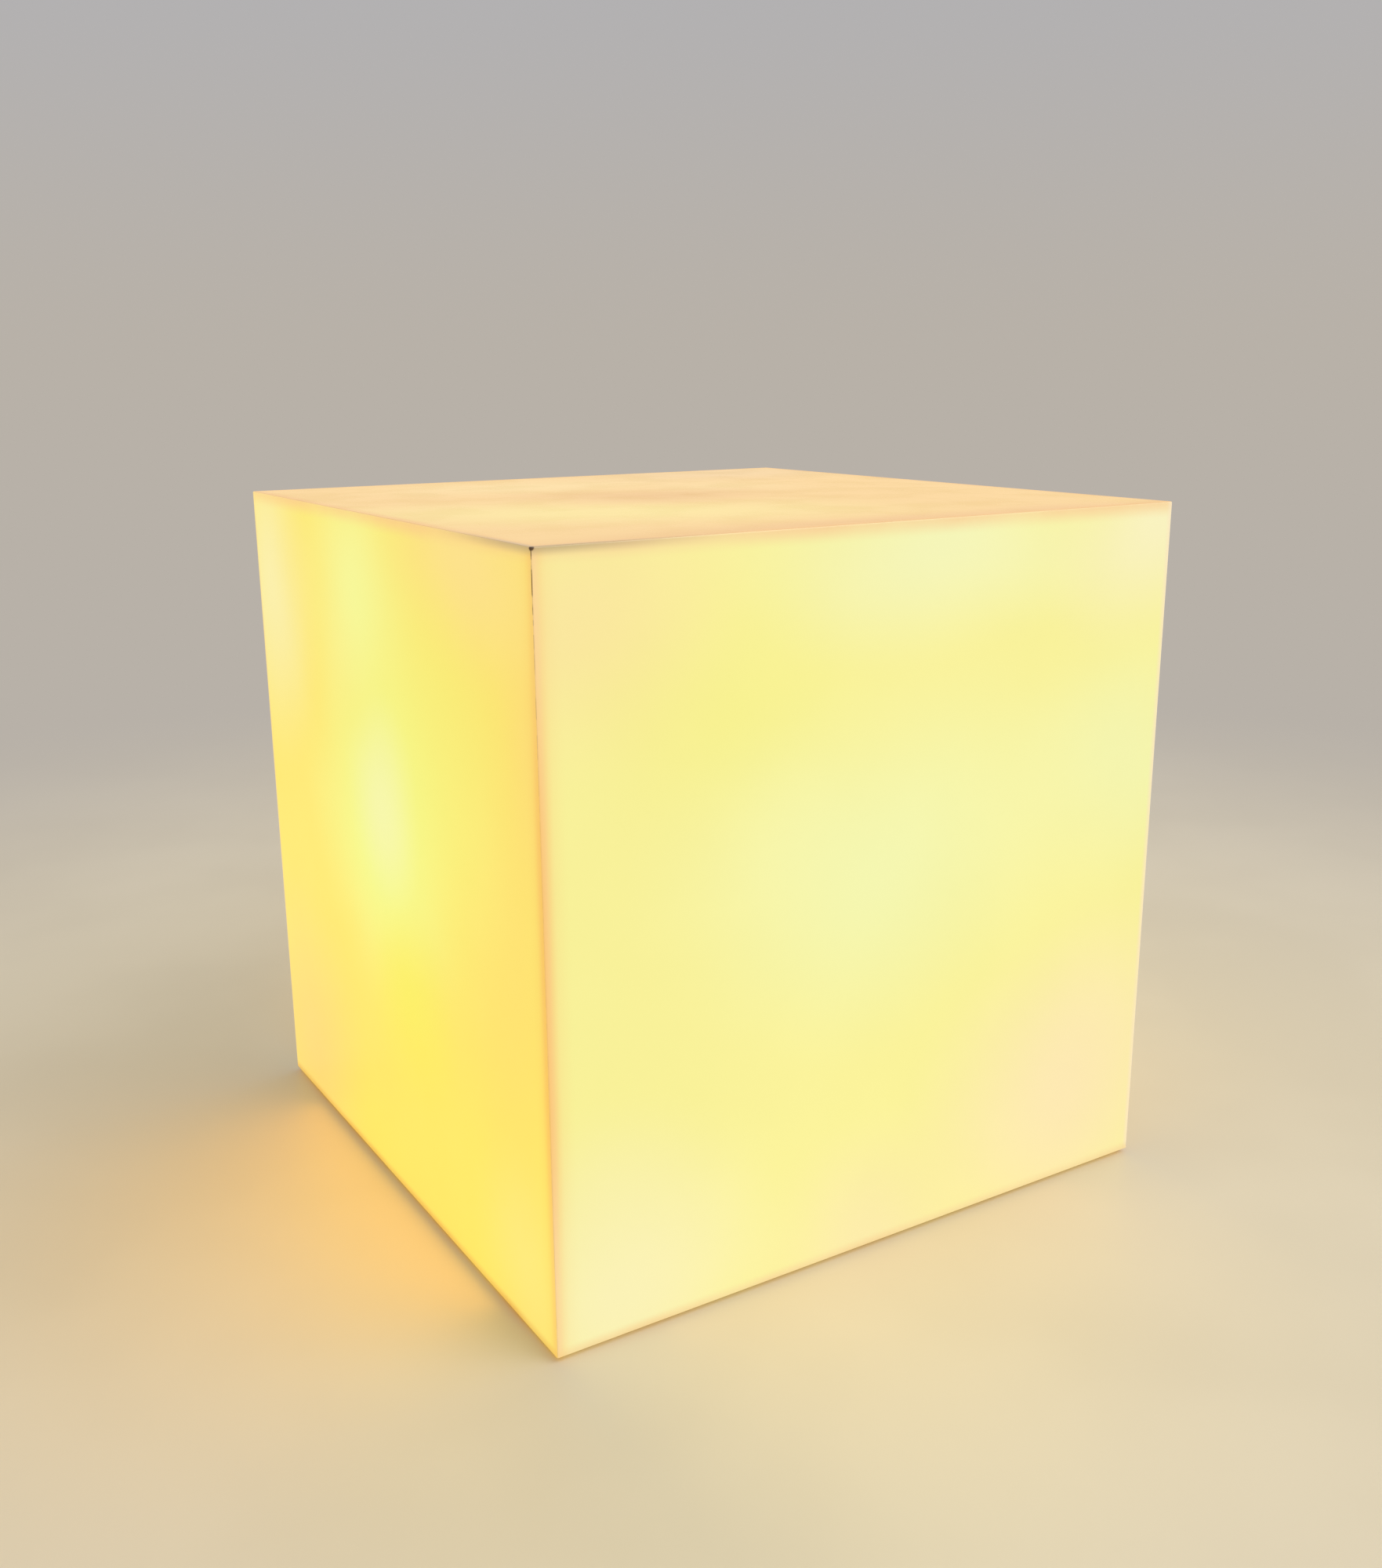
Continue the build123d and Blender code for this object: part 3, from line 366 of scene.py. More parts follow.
def wind_up(name, section, pitch, low, high, steps=64, filled=True):
    """Winds one pitch of a thread's section round the Z axis and cuts the thread off level at both ends."""
    piece = draw_line(name, [(radius, low - pitch + share * pitch) for share, radius in section])
    turns = piece.modifiers.new("turns", "SCREW")
    turns.screw_offset = pitch
    turns.iterations = math.ceil((high - low) / pitch) + 2
    turns.steps = turns.render_steps = steps
    bpy.ops.object.modifier_apply(modifier="turns")
    bpy.ops.object.mode_set(mode="EDIT")
    bpy.ops.mesh.select_all(action="SELECT")
    bpy.ops.mesh.remove_doubles(threshold=2e-6)
    for level, sides in ((low, {"clear_inner": True}), (high, {"clear_outer": True})):
        bpy.ops.mesh.select_all(action="SELECT")
        cut = {"plane_co": (0, 0, level), "plane_no": (0, 0, 1), "threshold": 1e-7, "use_fill": filled}
        bpy.ops.mesh.bisect(**cut, **sides)
    bpy.ops.mesh.select_all(action="SELECT")
    bpy.ops.mesh.normals_make_consistent(inside=False)
    bpy.ops.object.mode_set(mode="OBJECT")
    face = piece.data.polygons[len(piece.data.polygons) // 2]
    if face.normal.dot(face.center * Vector((1, 1, 0))) < 0:
        bpy.ops.object.mode_set(mode="EDIT")
        bpy.ops.mesh.select_all(action="SELECT")
        bpy.ops.mesh.flip_normals()
        bpy.ops.object.mode_set(mode="OBJECT")
    return piece


def pick(piece):
    """Makes one piece the only selected one."""
    bpy.ops.object.select_all(action="DESELECT")
    piece.select_set(True)
    bpy.context.view_layer.objects.active = piece


def combine(piece, cutter, operation):
    """Takes a shape away from a piece or adds it, and removes the shape."""
    pick(piece)
    change = piece.modifiers.new("change", "BOOLEAN")
    change.operation = operation
    change.solver = "EXACT"
    change.object = cutter
    bpy.ops.object.modifier_apply(modifier="change")
    bpy.data.objects.remove(cutter)


def mill(piece, middle, sizes, deep_way, narrowing, angle=0.0):
    """Mills a slot, or one arm of a cross recess, that narrows towards its floor."""
    bpy.ops.mesh.primitive_cube_add(size=1, location=middle, rotation=(0, 0, angle), scale=sizes)
    cutter = bpy.context.object
    bpy.ops.object.transform_apply()
    bpy.context.tool_settings.mesh_select_mode = (False, False, True)
    bpy.ops.object.mode_set(mode="EDIT")
    bpy.ops.mesh.select_all(action="DESELECT")
    bpy.ops.object.mode_set(mode="OBJECT")
    for face in cutter.data.polygons:
        face.select = face.normal.dot(Vector(deep_way)) > 0.9
    slot_floor = Vector(middle) + Vector(deep_way) * sizes[2] / 2
    bpy.ops.object.mode_set(mode="EDIT")
    bpy.ops.transform.resize(value=(narrowing,) * 3, center_override=slot_floor)
    bpy.ops.object.mode_set(mode="OBJECT")
    bpy.context.tool_settings.mesh_select_mode = (True, False, False)
    combine(piece, cutter, "DIFFERENCE")


def cross_recess(piece, middle, sizes, deep_way):
    """Mills the two arms of a cross recess."""
    for quarter in range(2):
        mill(piece, middle, sizes, deep_way, narrowing=0.5, angle=quarter * math.pi / 2)


def join(first, *others):
    """Joins pieces into the first one."""
    pick(first)
    for other in others:
        other.select_set(True)
    if others:
        bpy.ops.object.join()
    return first


def copies(piece, shifts):
    """Copies a piece to other places, each copy with its own mesh, and joins them all in one piece."""
    made = []
    for shift in shifts:
        pick(piece)
        bpy.ops.object.duplicate(linked=False)
        made.append(bpy.context.object)
        bpy.ops.transform.translate(value=shift)
        bpy.ops.object.transform_apply()
    bpy.data.objects.remove(piece)
    return join(*made)


def fit(piece, name, finish, body, slot, *nodes):
    """Finishes a piece, puts it on its body and hides the nodes that it stands for."""
    pick(piece)
    piece.name = name
    piece.data.materials.clear()
    piece.data.materials.append(finish)
    bpy.ops.object.shade_smooth_by_angle(angle=math.radians(35))
    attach(piece, body)
    if nodes:
        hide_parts(*nodes)


def tapping_thread(core, crest):
    """One pitch of a tapping thread: a wide root and a narrow crest."""
    return [(0.0, core), (0.5, core), (0.72, crest), (0.78, crest), (1.0, core)]


zinc = metal_finish("zinc_plate", shown(206, 208, 212), shown(168, 170, 172), 0.26)
upwards = (0, 0, 1)
head_low, head_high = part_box("housing_screws")
head_radius = 0.0034
head_edge = 0.00015
cone_height = 0.0021
shank_radius = 0.00175
shank_core = 0.00125
shank_start = head_low.z + 0.0019  # inside the head
screw_pitch = 0.0014
recess_sizes = (0.0036, 0.00075, 0.0019)
recess_place = (0, 0, head_low.z + recess_sizes[2] / 2 - 0.00005)
head_section = [
    (0.0, head_low.z),
    (head_radius - head_edge, head_low.z),
    (head_radius, head_low.z + head_edge),
    (shank_core + 0.0002, head_low.z + cone_height),
    (shank_core - 0.0003, head_low.z + 0.003),
    (0.0, head_low.z + 0.003),
]
shank_section = tapping_thread(shank_core, shank_radius)
screw_head = turn_up("screw_head", head_section, steps=48)
cross_recess(screw_head, recess_place, recess_sizes, upwards)
screw_shank = wind_up("screw_shank", shank_section, screw_pitch, shank_start, head_high.z, steps=24)
screw_place = head_high.x - head_radius
screw_places = [(x, y, 0) for x in (-screw_place, screw_place) for y in (-screw_place, screw_place)]
housing_screw_set = copies(join(screw_head, screw_shank), screw_places)
fit(housing_screw_set, "cross_recess_screws", zinc, "base", "zinc_steel", "housing_screws")

# ---- Cable gland -------------------------------------------------------------------------------------------
# The cord's inlet, moulded in light grey polyamide. Its locknut holds it in the housing's wall from inside,
# and outside its dome nut presses a rubber seal round the cord.
polyamide = moulded_finish("grey_polyamide", shown(176, 178, 178), shown(164, 165, 164), 0.0005, shine=0.38)
dress(polyamide, "gland_body", "gland_dome_nut", "gland_locknut")
dress(pad_rubber, "gland_seal")

# ---- Terminal block and leads ------------------------------------------------------------------------------
# A two-pole block of natural polyamide with brass tubes and plated screws. Its brown and blue leads rise
# through the nipple to the lampholder.


def fine_thread(core, crest):
    """One pitch of a fine thread: a plain V."""
    return [(0.0, core), (0.5, crest), (1.0, core)]


natural_polyamide = moulded_finish(
    "natural_polyamide", shown(224, 222, 208), shown(214, 208, 188), 0.0007, shine=0.34
)
dress(natural_polyamide, "terminal_block")
brass = metal_finish("bright_brass", shown(216, 182, 112), shown(198, 162, 94), 0.22)
dress(brass, "terminal_tubes")
brown_cover = moulded_finish("brown_lead", shown(96, 58, 36), shown(84, 50, 32), 0.0009, shine=0.36)
dress(brown_cover, "live_lead")
blue_cover = moulded_finish("blue_lead", shown(48, 96, 170), shown(42, 84, 150), 0.0009, shine=0.36)
dress(blue_cover, "neutral_lead")

# Four slotted grub screws clamp the wires in the tubes.
clamp_low, clamp_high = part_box("terminal_screws")
clamp_radius = 0.0013
clamp_core = 0.00106
clamp_pitch = 0.00045
clamp_slot = (0.003, 0.0005, 0.0009)
clamp_slot_place = (0, 0, clamp_high.z - 0.0004)
downwards = (0, 0, -1)
clamp_section = fine_thread(clamp_core, clamp_radius)
clamp_screw = wind_up("clamp_screw", clamp_section, clamp_pitch, clamp_low.z, clamp_high.z, steps=24)
mill(clamp_screw, clamp_slot_place, clamp_slot, downwards, narrowing=0.9)
clamp_reach = clamp_high.x - clamp_radius
clamp_rows = (clamp_low.y + clamp_radius, clamp_high.y - clamp_radius)
clamp_places = [(x, y, 0) for x in (-clamp_reach, clamp_reach) for y in clamp_rows]
clamp_screws = copies(clamp_screw, clamp_places)
fit(clamp_screws, "slotted_clamp_screws", zinc, "base", "zinc_steel", "terminal_screws")

# One pan head screw holds the block down on the plate.
pan_low, pan_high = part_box("terminal_block_screw")
pan_radius = pan_high.x
pan_height = 0.0018
pan_shank = 0.0015
pan_core = 0.00105
pan_pitch = 0.0012
pan_edge = 0.0002
pan_recess = (0.0027, 0.0006, 0.0012)
pan_recess_place = (0, 0, pan_high.z - 0.0005)
pan_bottom = pan_high.z - pan_height
pan_section = [
    (0.0, pan_bottom),
    (pan_radius - pan_edge, pan_bottom),
    (pan_radius, pan_bottom + pan_edge),
    (pan_radius, pan_bottom + 0.0008),
    (pan_radius * 0.83, pan_bottom + 0.0014),
    (pan_radius * 0.5, pan_high.z - 0.00007),
    (0.0, pan_high.z),
]
pan_thread = tapping_thread(pan_core, pan_shank)
pan_head = turn_up("pan_head", pan_section, steps=48)
cross_recess(pan_head, pan_recess_place, pan_recess, downwards)
pan_screw = wind_up("pan_shank", pan_thread, pan_pitch, pan_low.z, pan_bottom + 0.0003, steps=24)
pan_screw = copies(join(pan_head, pan_screw), [(0, (pan_low.y + pan_high.y) / 2, 0)])
fit(pan_screw, "pan_head_block_screw", zinc, "base", "zinc_steel", "terminal_block_screw")

# ---- Nipple, nut and washer --------------------------------------------------------------------------------
# A ten millimetre nipple of zinc plated steel, threaded all along and bored for the leads. With its nut and
# washer it holds the lampholder down on the housing.


def bore(piece, radius, place=(0, 0, 0), depth=0.01, steps=24):
    """Drills an upright hole in a piece."""
    bpy.ops.mesh.primitive_cylinder_add(vertices=steps, radius=radius, depth=depth, location=place)
    combine(piece, bpy.context.object, "DIFFERENCE")


dress(zinc, "nipple_nut", "nipple_washer")
nipple_low, nipple_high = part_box("nipple")
nipple_radius = nipple_high.x
nipple_core = nipple_radius - 0.00055
nipple_bore = 0.00375
nipple_pitch = 0.001
nipple_section = fine_thread(nipple_core, nipple_radius)
threaded_nipple = wind_up(
    "threaded_nipple", nipple_section, nipple_pitch, nipple_low.z, nipple_high.z, steps=48
)
bore(threaded_nipple, nipple_bore, depth=0.1, steps=48)
fit(threaded_nipple, "threaded_nipple", zinc, "base", "zinc_steel", "nipple")

# ---- Lampholder --------------------------------------------------------------------------------------------
# A holder in two parts, moulded in white thermoplastic: a cap on the nipple and a sleeve that screws over it.
# The steatite core between them carries the brass screw shell, the bronze contact and the two terminals.
holder_plastic = moulded_finish(
    "holder_plastic", shown(230, 227, 218), shown(224, 218, 202), 0.0004, shine=0.3, depth=0.000004
)
dress(holder_plastic, "lampholder_cap", "lampholder_sleeve")
steatite = moulded_finish(
    "fired_steatite", shown(226, 222, 210), shown(212, 206, 190), 0.0003, shine=0.6, depth=0.00003
)
dress(steatite, "lampholder_core")
dress(metal_finish("bronze_strip", shown(200, 150, 104), shown(156, 106, 72), 0.24), "centre_contact")
dress(brass, "live_terminal", "neutral_terminal")

# Two cheese head screws clamp the leads in the pillars of the terminals.
cheese_low, cheese_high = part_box("lampholder_terminal_screws")
cheese_radius = 0.002
cheese_height = 0.001
cheese_shank = 0.0012
cheese_core = 0.00095
cheese_pitch = 0.00045
cheese_edge = 0.0002
cheese_slot = (0.005, 0.0006, 0.0006)
cheese_tip = -cheese_high.y  # the screws are made upright and laid down afterwards
cheese_top = -cheese_low.y
cheese_bottom = cheese_top - cheese_height
cheese_slot_place = (0, 0, cheese_top - 0.0002)
cheese_section = [
    (0.0, cheese_bottom),
    (cheese_radius, cheese_bottom),
    (cheese_radius, cheese_top - cheese_edge),
    (cheese_radius - cheese_edge, cheese_top),
    (0.0, cheese_top),
]
cheese_thread = fine_thread(cheese_core, cheese_shank)
cheese_head = turn_up("cheese_head", cheese_section, steps=32)
mill(cheese_head, cheese_slot_place, cheese_slot, downwards, narrowing=0.95)
cheese_end = cheese_bottom + 0.0001
cheese_screw = wind_up("cheese_shank", cheese_thread, cheese_pitch, cheese_tip, cheese_end, steps=24)
cheese_screw = join(cheese_head, cheese_screw)
cheese_screw.rotation_euler.x = math.pi / 2
bpy.ops.object.transform_apply()
cheese_reach = cheese_high.x - cheese_radius
cheese_level = (cheese_low.z + cheese_high.z) / 2
cheese_screws = copies(cheese_screw, [(x, 0, cheese_level) for x in (-cheese_reach, cheese_reach)])
fit(cheese_screws, "slotted_pillar_screws", zinc, "base", "zinc_steel", "lampholder_terminal_screws")


# The brass shell is drawn from thin sheet, its thread is rolled, and its foot is a flange with a riveted tab.
def roll_thread(root, crest, shift=0.0, parts=12):
    """One pitch of a rolled thread: a wave between its root and its crest."""
    waves = [(part / parts, math.cos(2 * math.pi * (part / parts - shift))) for part in range(parts + 1)]
    return [(share, (root + crest) / 2 + (root - crest) / 2 * wave) for share, wave in waves]


def thicken(piece, sheet, side):
    """Gives a surface the thickness of its sheet: outwards with a side of 1, and inwards with -1."""
    pick(piece)
    skin = piece.modifiers.new("skin", "SOLIDIFY")
    skin.thickness = sheet
    skin.offset = side
    bpy.ops.object.modifier_apply(modifier="skin")


thread_pitch = 0.003629
cap_thread_low = 0.0592
shell_low, shell_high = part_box("screw_shell")
shell_outer = shell_high.x
shell_sheet = 0.0003
shell_crest = 0.01325
shell_foot = 0.0004
shell_flange = 0.0105
lip_height = 0.0004
lip_low = shell_high.z - lip_height
shell_start = shell_low.z + shell_foot / 2
shell_end = shell_high.z - lip_height / 2
shell_shift = (cap_thread_low - shell_start) / thread_pitch % 1
shell_section = roll_thread(shell_crest, shell_outer - shell_sheet, shell_shift)
shell = wind_up("shell", shell_section, thread_pitch, shell_start, shell_end, steps=96, filled=False)
thicken(shell, shell_sheet, 1.0)
shell_lip = [
    (shell_crest, lip_low),
    (shell_outer, lip_low),
    (shell_outer, shell_high.z),
    (shell_crest, shell_high.z),
    (shell_crest, lip_low),
]
foot_place = (0, 0, shell_start)
tab_ends = (0.0039, shell_flange + 0.001)
tab_place = (sum(tab_ends) / 2, 0, shell_start)
tab_sizes = (tab_ends[1] - tab_ends[0], 0.004, shell_foot)
rivet_hole = 0.00155
rivet_place = (0.006, 0, shell_start)
bpy.ops.mesh.primitive_cylinder_add(vertices=96, radius=shell_outer, depth=shell_foot, location=foot_place)
shell_ring = bpy.context.object
bore(shell_ring, shell_flange, foot_place, steps=96)
bpy.ops.mesh.primitive_cube_add(size=1, location=tab_place, scale=tab_sizes)
combine(shell_ring, bpy.context.object, "UNION")
bore(shell_ring, rivet_hole, rivet_place, steps=32)
bpy.ops.object.transform_apply()
rolled_shell = join(shell, turn_up("lip", shell_lip, steps=96), shell_ring)
fit(rolled_shell, "rolled_screw_shell", brass, "base", "brass", "screw_shell")

# ---- Bulb --------------------------------------------------------------------------------------------------
# A clear globe, blown in glass and cemented in an aluminium screw cap. Four glowing filaments under phosphor
# hang on its glass stem. It screws into the lampholder.
glass = begin_finish("bulb_glass", Transmission_Weight=1.0, IOR=1.45, Roughness=0.0)
glass_tree = glass.node_tree
glass_cloud = ease(glass_tree, noise(glass_tree, 0.02), 0.3, 0.7)
wire(glass, Base_Color=blend_tones(glass_tree, glass_cloud, shown(252, 253, 252), shown(246, 249, 248)))
dress(glass, "bulb_glass", "bulb_stem")

# The cap: a rolled thread between a cone, which holds the black glass, and a plain skirt, crimped at its rim.
cap_low, cap_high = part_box("bulb_cap")
cap_rim = cap_high.x
cap_crest = 0.0131
cap_root = 0.0121
cap_sheet = 0.0003
cap_inner = 0.0127
cone_mouth = 0.0085
thread_end = 0.0736
thread_seat = cap_root - cap_sheet
cap_wave = roll_thread(cap_root, cap_crest)
cap_thread = wind_up("cap_thread", cap_wave, thread_pitch, cap_thread_low, thread_end, steps=96, filled=False)
thicken(cap_thread, cap_sheet, -1.0)
cone_inner = cone_mouth - 0.0004
cone_high = cap_thread_low + 0.0001
cone_section = [
    (cone_inner, cap_low.z),
    (cone_mouth, cap_low.z),
    (cap_crest - 0.0003, cap_thread_low - 0.0002),
    (cap_crest - 0.0001, cone_high),
    (thread_seat, cone_high),
    (cone_inner, cap_low.z + 0.0004),
    (cone_inner, cap_low.z),
]
skirt_low = thread_end - 0.0001
skirt_turn = thread_end + 0.0002
crimp_low = cap_high.z - 0.0014
skirt_section = [
    (thread_seat, skirt_low),
    (cap_crest - 0.0002, skirt_low),
    (cap_crest, skirt_turn),
    (cap_crest, crimp_low),
    (cap_crest + 0.0002, cap_high.z - 0.0007),
    (cap_rim, cap_high.z),
    (cap_rim - 0.0004, cap_high.z),
    (cap_inner + 0.0001, cap_high.z - 0.0008),
    (cap_inner, crimp_low),
    (cap_inner, thread_end + 0.0004),
    (thread_seat, skirt_turn),
    (thread_seat, skirt_low),
]
cone = turn_up("cone", cone_section, steps=96)
skirt = turn_up("skirt", skirt_section, steps=96)
drawn = (1.0, 1.0, 6.0)  # the grain runs round the cap
cap_metal = metal_finish("cap_metal", shown(206, 207, 210), shown(176, 176, 178), 0.22, stretch=drawn)
fit(join(cap_thread, cone, skirt), "rolled_bulb_cap", cap_metal, "bulb", "cap_aluminium", "bulb_cap")
fused_glass = moulded_finish("fused_glass", shown(26, 25, 27), shown(34, 33, 34), 0.002, shine=0.12)
dress(fused_glass, "bulb_insulator")
dress(metal_finish("solder_blob", shown(184, 184, 184), shown(138, 138, 140), 0.34), "bulb_contact")
dress(metal_finish("bright_nickel", shown(190, 188, 180), shown(150, 148, 142), 0.26), "filament_wires")

# The filaments: strips of small chips under a yellow phosphor coat.
phosphor = begin_finish("phosphor_coat", Roughness=0.6, Emission_Strength=6.0)
phosphor_tree = phosphor.node_tree
phosphor_dots = ease(phosphor_tree, noise(phosphor_tree, 0.0012), 0.3, 0.7)
phosphor_coat = blend_tones(phosphor_tree, phosphor_dots, shown(240, 200, 90), shown(232, 184, 70))
phosphor_glow = blend_tones(phosphor_tree, phosphor_dots, shown(255, 214, 128), shown(255, 196, 98))
wire(phosphor, Base_Color=phosphor_coat, Emission_Color=phosphor_glow)
dress(phosphor, *[f"filament_{number}" for number in range(1, 5)])

# The driver inside the cap: a small round board with a notch for the live wire, three chips and a capacitor.
board_low, board_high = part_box("driver_board")
board_radius = 0.0115
board_height = board_high.z - board_low.z
board_middle = (board_low.z + board_high.z) / 2
board_place = (0, 0, board_middle)
notch_radius = 0.0012
notch_place = (-board_radius, 0, board_middle)
bpy.ops.mesh.primitive_cylinder_add(
    vertices=64, radius=board_radius, depth=board_height, location=board_place
)
board = bpy.context.object
bore(board, notch_radius, notch_place)
bpy.ops.object.transform_apply()
solder_mask = moulded_finish("solder_mask", shown(30, 104, 62), shown(24, 88, 52), 0.0012, shine=0.3)
fit(board, "notched_driver_board", solder_mask, "bulb", "circuit_board", "driver_board")
dark_sleeve = moulded_finish("dark_sleeve", shown(30, 30, 32), shown(40, 40, 42), 0.0008, shine=0.35)
dress(dark_sleeve, "driver_capacitor")
chip_spots = ((-0.005, 0.004, 0.004), (-0.006, -0.004, 0.0032), (-0.001, 0.008, 0.0024))  # place and length
chip_height = 0.0012
chip_edge = 0.0002
chips = []
for chip_x, chip_y, chip_length in chip_spots:
    chip_place = (chip_x, chip_y, board_high.z + chip_height / 2)
    chip_sizes = (chip_length, chip_length * 0.7, chip_height)
    bpy.ops.mesh.primitive_cube_add(size=1, location=chip_place, scale=chip_sizes)
    chip = bpy.context.object
    bpy.ops.object.transform_apply()
    chip_edges = chip.modifiers.new("edges", "BEVEL")
    chip_edges.width = chip_edge
    chip_edges.segments = 2
    bpy.ops.object.modifier_apply(modifier="edges")
    chips.append(chip)
fit(join(*chips), "driver_chips", dark_sleeve, "bulb", "black_sleeve")

# ---- Shade: five lit panels --------------------------------------------------------------------------------
# Five squares of opal acrylic, mitred and bonded into a box. The bulb behind them draws pale patches on each
# face, and the mitres, where the light has twice the acrylic to pass, show as warmer bands along the arrises.
top_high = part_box("top_panel")[1]
half_side = top_high.x
shade_top = top_high.z
shade_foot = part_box("front_panel")[0].z
level_width = 0.0048  # band along the top arrises
foot_width = 0.003  # band along the lower edges
rim_width = 0.0022  # pale edge along the upright arrises
deep_width = 0.0075  # band along the front left arris
seam_width = 0.00013
seam_open = 0.009  # the length at the top over which the joint stands open
seam_length = 0.06
# The darker patch along the top arrises near the front left corner is partly grime and partly painted shade.
smudge_and_shade_reach = 0.06
smudge_and_shade_width = 0.0026
dot_radius = 0.0006  # the hole where three panels meet
drift_scale = 14.0
drift_reach = 0.025  # how far the outlines of the patches wander
sheet_tone = (0.36, 0.33, 0.25, 1.0)
sheet_cloud_tone = (0.34, 0.31, 0.23, 1.0)
# Grime and painted shade at the front left corner: the darker patch, the crack, and the sheet under them.
smudge_and_shade_tone = (0.30, 0.24, 0.14, 1.0)
crack_tone = (0.06, 0.028, 0.008, 1.0)
soiled_shaded_sheet_tone = (0.03, 0.02, 0.01, 1.0)

# How the plane of each side lies in the part: the direction across it, as seen from outside, the direction
# up it, and the axis round which a patch leans.
side_planes = {
    "front": {"across": (1, 0, 0), "up": (0, 0, 1), "spin": (0, -1, 0)},
    "right": {"across": (0, 1, 0), "up": (0, 0, 1), "spin": (1, 0, 0)},
    "back": {"across": (-1, 0, 0), "up": (0, 0, 1), "spin": (0, 1, 0)},
    "left": {"across": (0, -1, 0), "up": (0, 0, 1), "spin": (-1, 0, 0)},
    "top": {"across": (1, 0, 0), "up": (0, 1, 0), "spin": (0, 0, 1)},
}


def lit_tone(color, daylight):
    """The light that a lit sheet gives off, so that it shows as a colour with the daylight it reflects."""
    whole = shown(*color)
    return (*[max(whole[part] - daylight[part], 0.0) for part in range(3)], 1.0)


def fall_off(tree, distance, width, most=1.0):
    """Goes smoothly from its most, where a distance is nothing, to 0, where it reaches a width."""
    return ease(tree, distance, 0.0, width, most, 0.0)


def span(tree, *distances):
    """The length of the diagonal over two or three distances."""
    corner = put(tree, "CombineXYZ", dict(enumerate(distances))).outputs[0]
    return put(tree, "VectorMath", {0: corner}, operation="LENGTH").outputs["Value"]


def lay_patches(tree, side, daylight, base, patches):
    """Lays soft patches of light over the base colour of one side, with outlines that wander a little."""
    across_way, up_way, spin_way = [Vector(axis) for axis in side_planes[side].values()]
    across_size = Vector([abs(part) for part in across_way])
    in_plane = across_size + up_way
    through = Vector((1, 1, 1)) - in_plane
    place = put(tree, "TexCoord").outputs["Object"]
    drift = put(tree, "TexNoise", {"Vector": place, "Scale": drift_scale, "Detail": 1.0}).outputs["Color"]
    drift = put(tree, "VectorMath", {0: drift, 1: (0.5, 0.5, 0.5)}, operation="SUBTRACT").outputs[0]
    inputs = {0: drift, 1: (drift_reach,) * 3, 2: place}
    moved = put(tree, "VectorMath", inputs, operation="MULTIPLY_ADD").outputs[0]
    glow = lit_tone(base, daylight)
    for across, up, width, height, lean, color, strength in patches:
        inputs = {
            "Vector": moved,
            "Location": across * across_way + up * up_way,
            "Rotation": math.radians(lean) * spin_way,
            "Scale": width * across_size + height * up_way + through,
        }
        local = put(tree, "Mapping", inputs, vector_type="TEXTURE").outputs[0]
        off = put(tree, "VectorMath", {0: local, 1: tuple(in_plane)}, operation="MULTIPLY").outputs[0]
        far = put(tree, "VectorMath", {0: off}, operation="LENGTH").outputs["Value"]
        glow = blend_tones(tree, fall_off(tree, far, 1.0, strength), glow, lit_tone(color, daylight))
    return glow


def joint_dirt_and_shade(tree, level, arris, corner, to_top):
    """Dirt and painted shade at the front left corner: first the crack and the hole alone, then these with a
    darker patch along the top arrises, partly grime and partly painted shade.
    """
    smudge_and_shade = fall_off(tree, corner, smudge_and_shade_reach, 0.6)
    smudge_and_shade = calc(tree, "MULTIPLY", smudge_and_shade, fall_off(tree, level, smudge_and_shade_width))
    crack = ease(tree, arris, seam_width * 0.5, seam_width, 1.0, 0.0)
    broken = ease(tree, noise(tree, 0.003, 2.0, (0.1, 0.1, 1.0)), 0.42, 0.55, 0.3, 1.0)
    wide = ease(tree, to_top, seam_open, seam_open * 2, 1.0, 0.4)
    wide = calc(tree, "MULTIPLY", wide, ease(tree, to_top, seam_length * 0.5, seam_length, 1.0, 0.3))
    crack = calc(tree, "MULTIPLY", calc(tree, "MULTIPLY", crack, broken), wide)
    hole = ease(tree, corner, dot_radius, dot_radius * 2, 1.0, 0.0)
    dark = calc(tree, "MAXIMUM", crack, hole)
    return dark, calc(tree, "MAXIMUM", smudge_and_shade, dark)


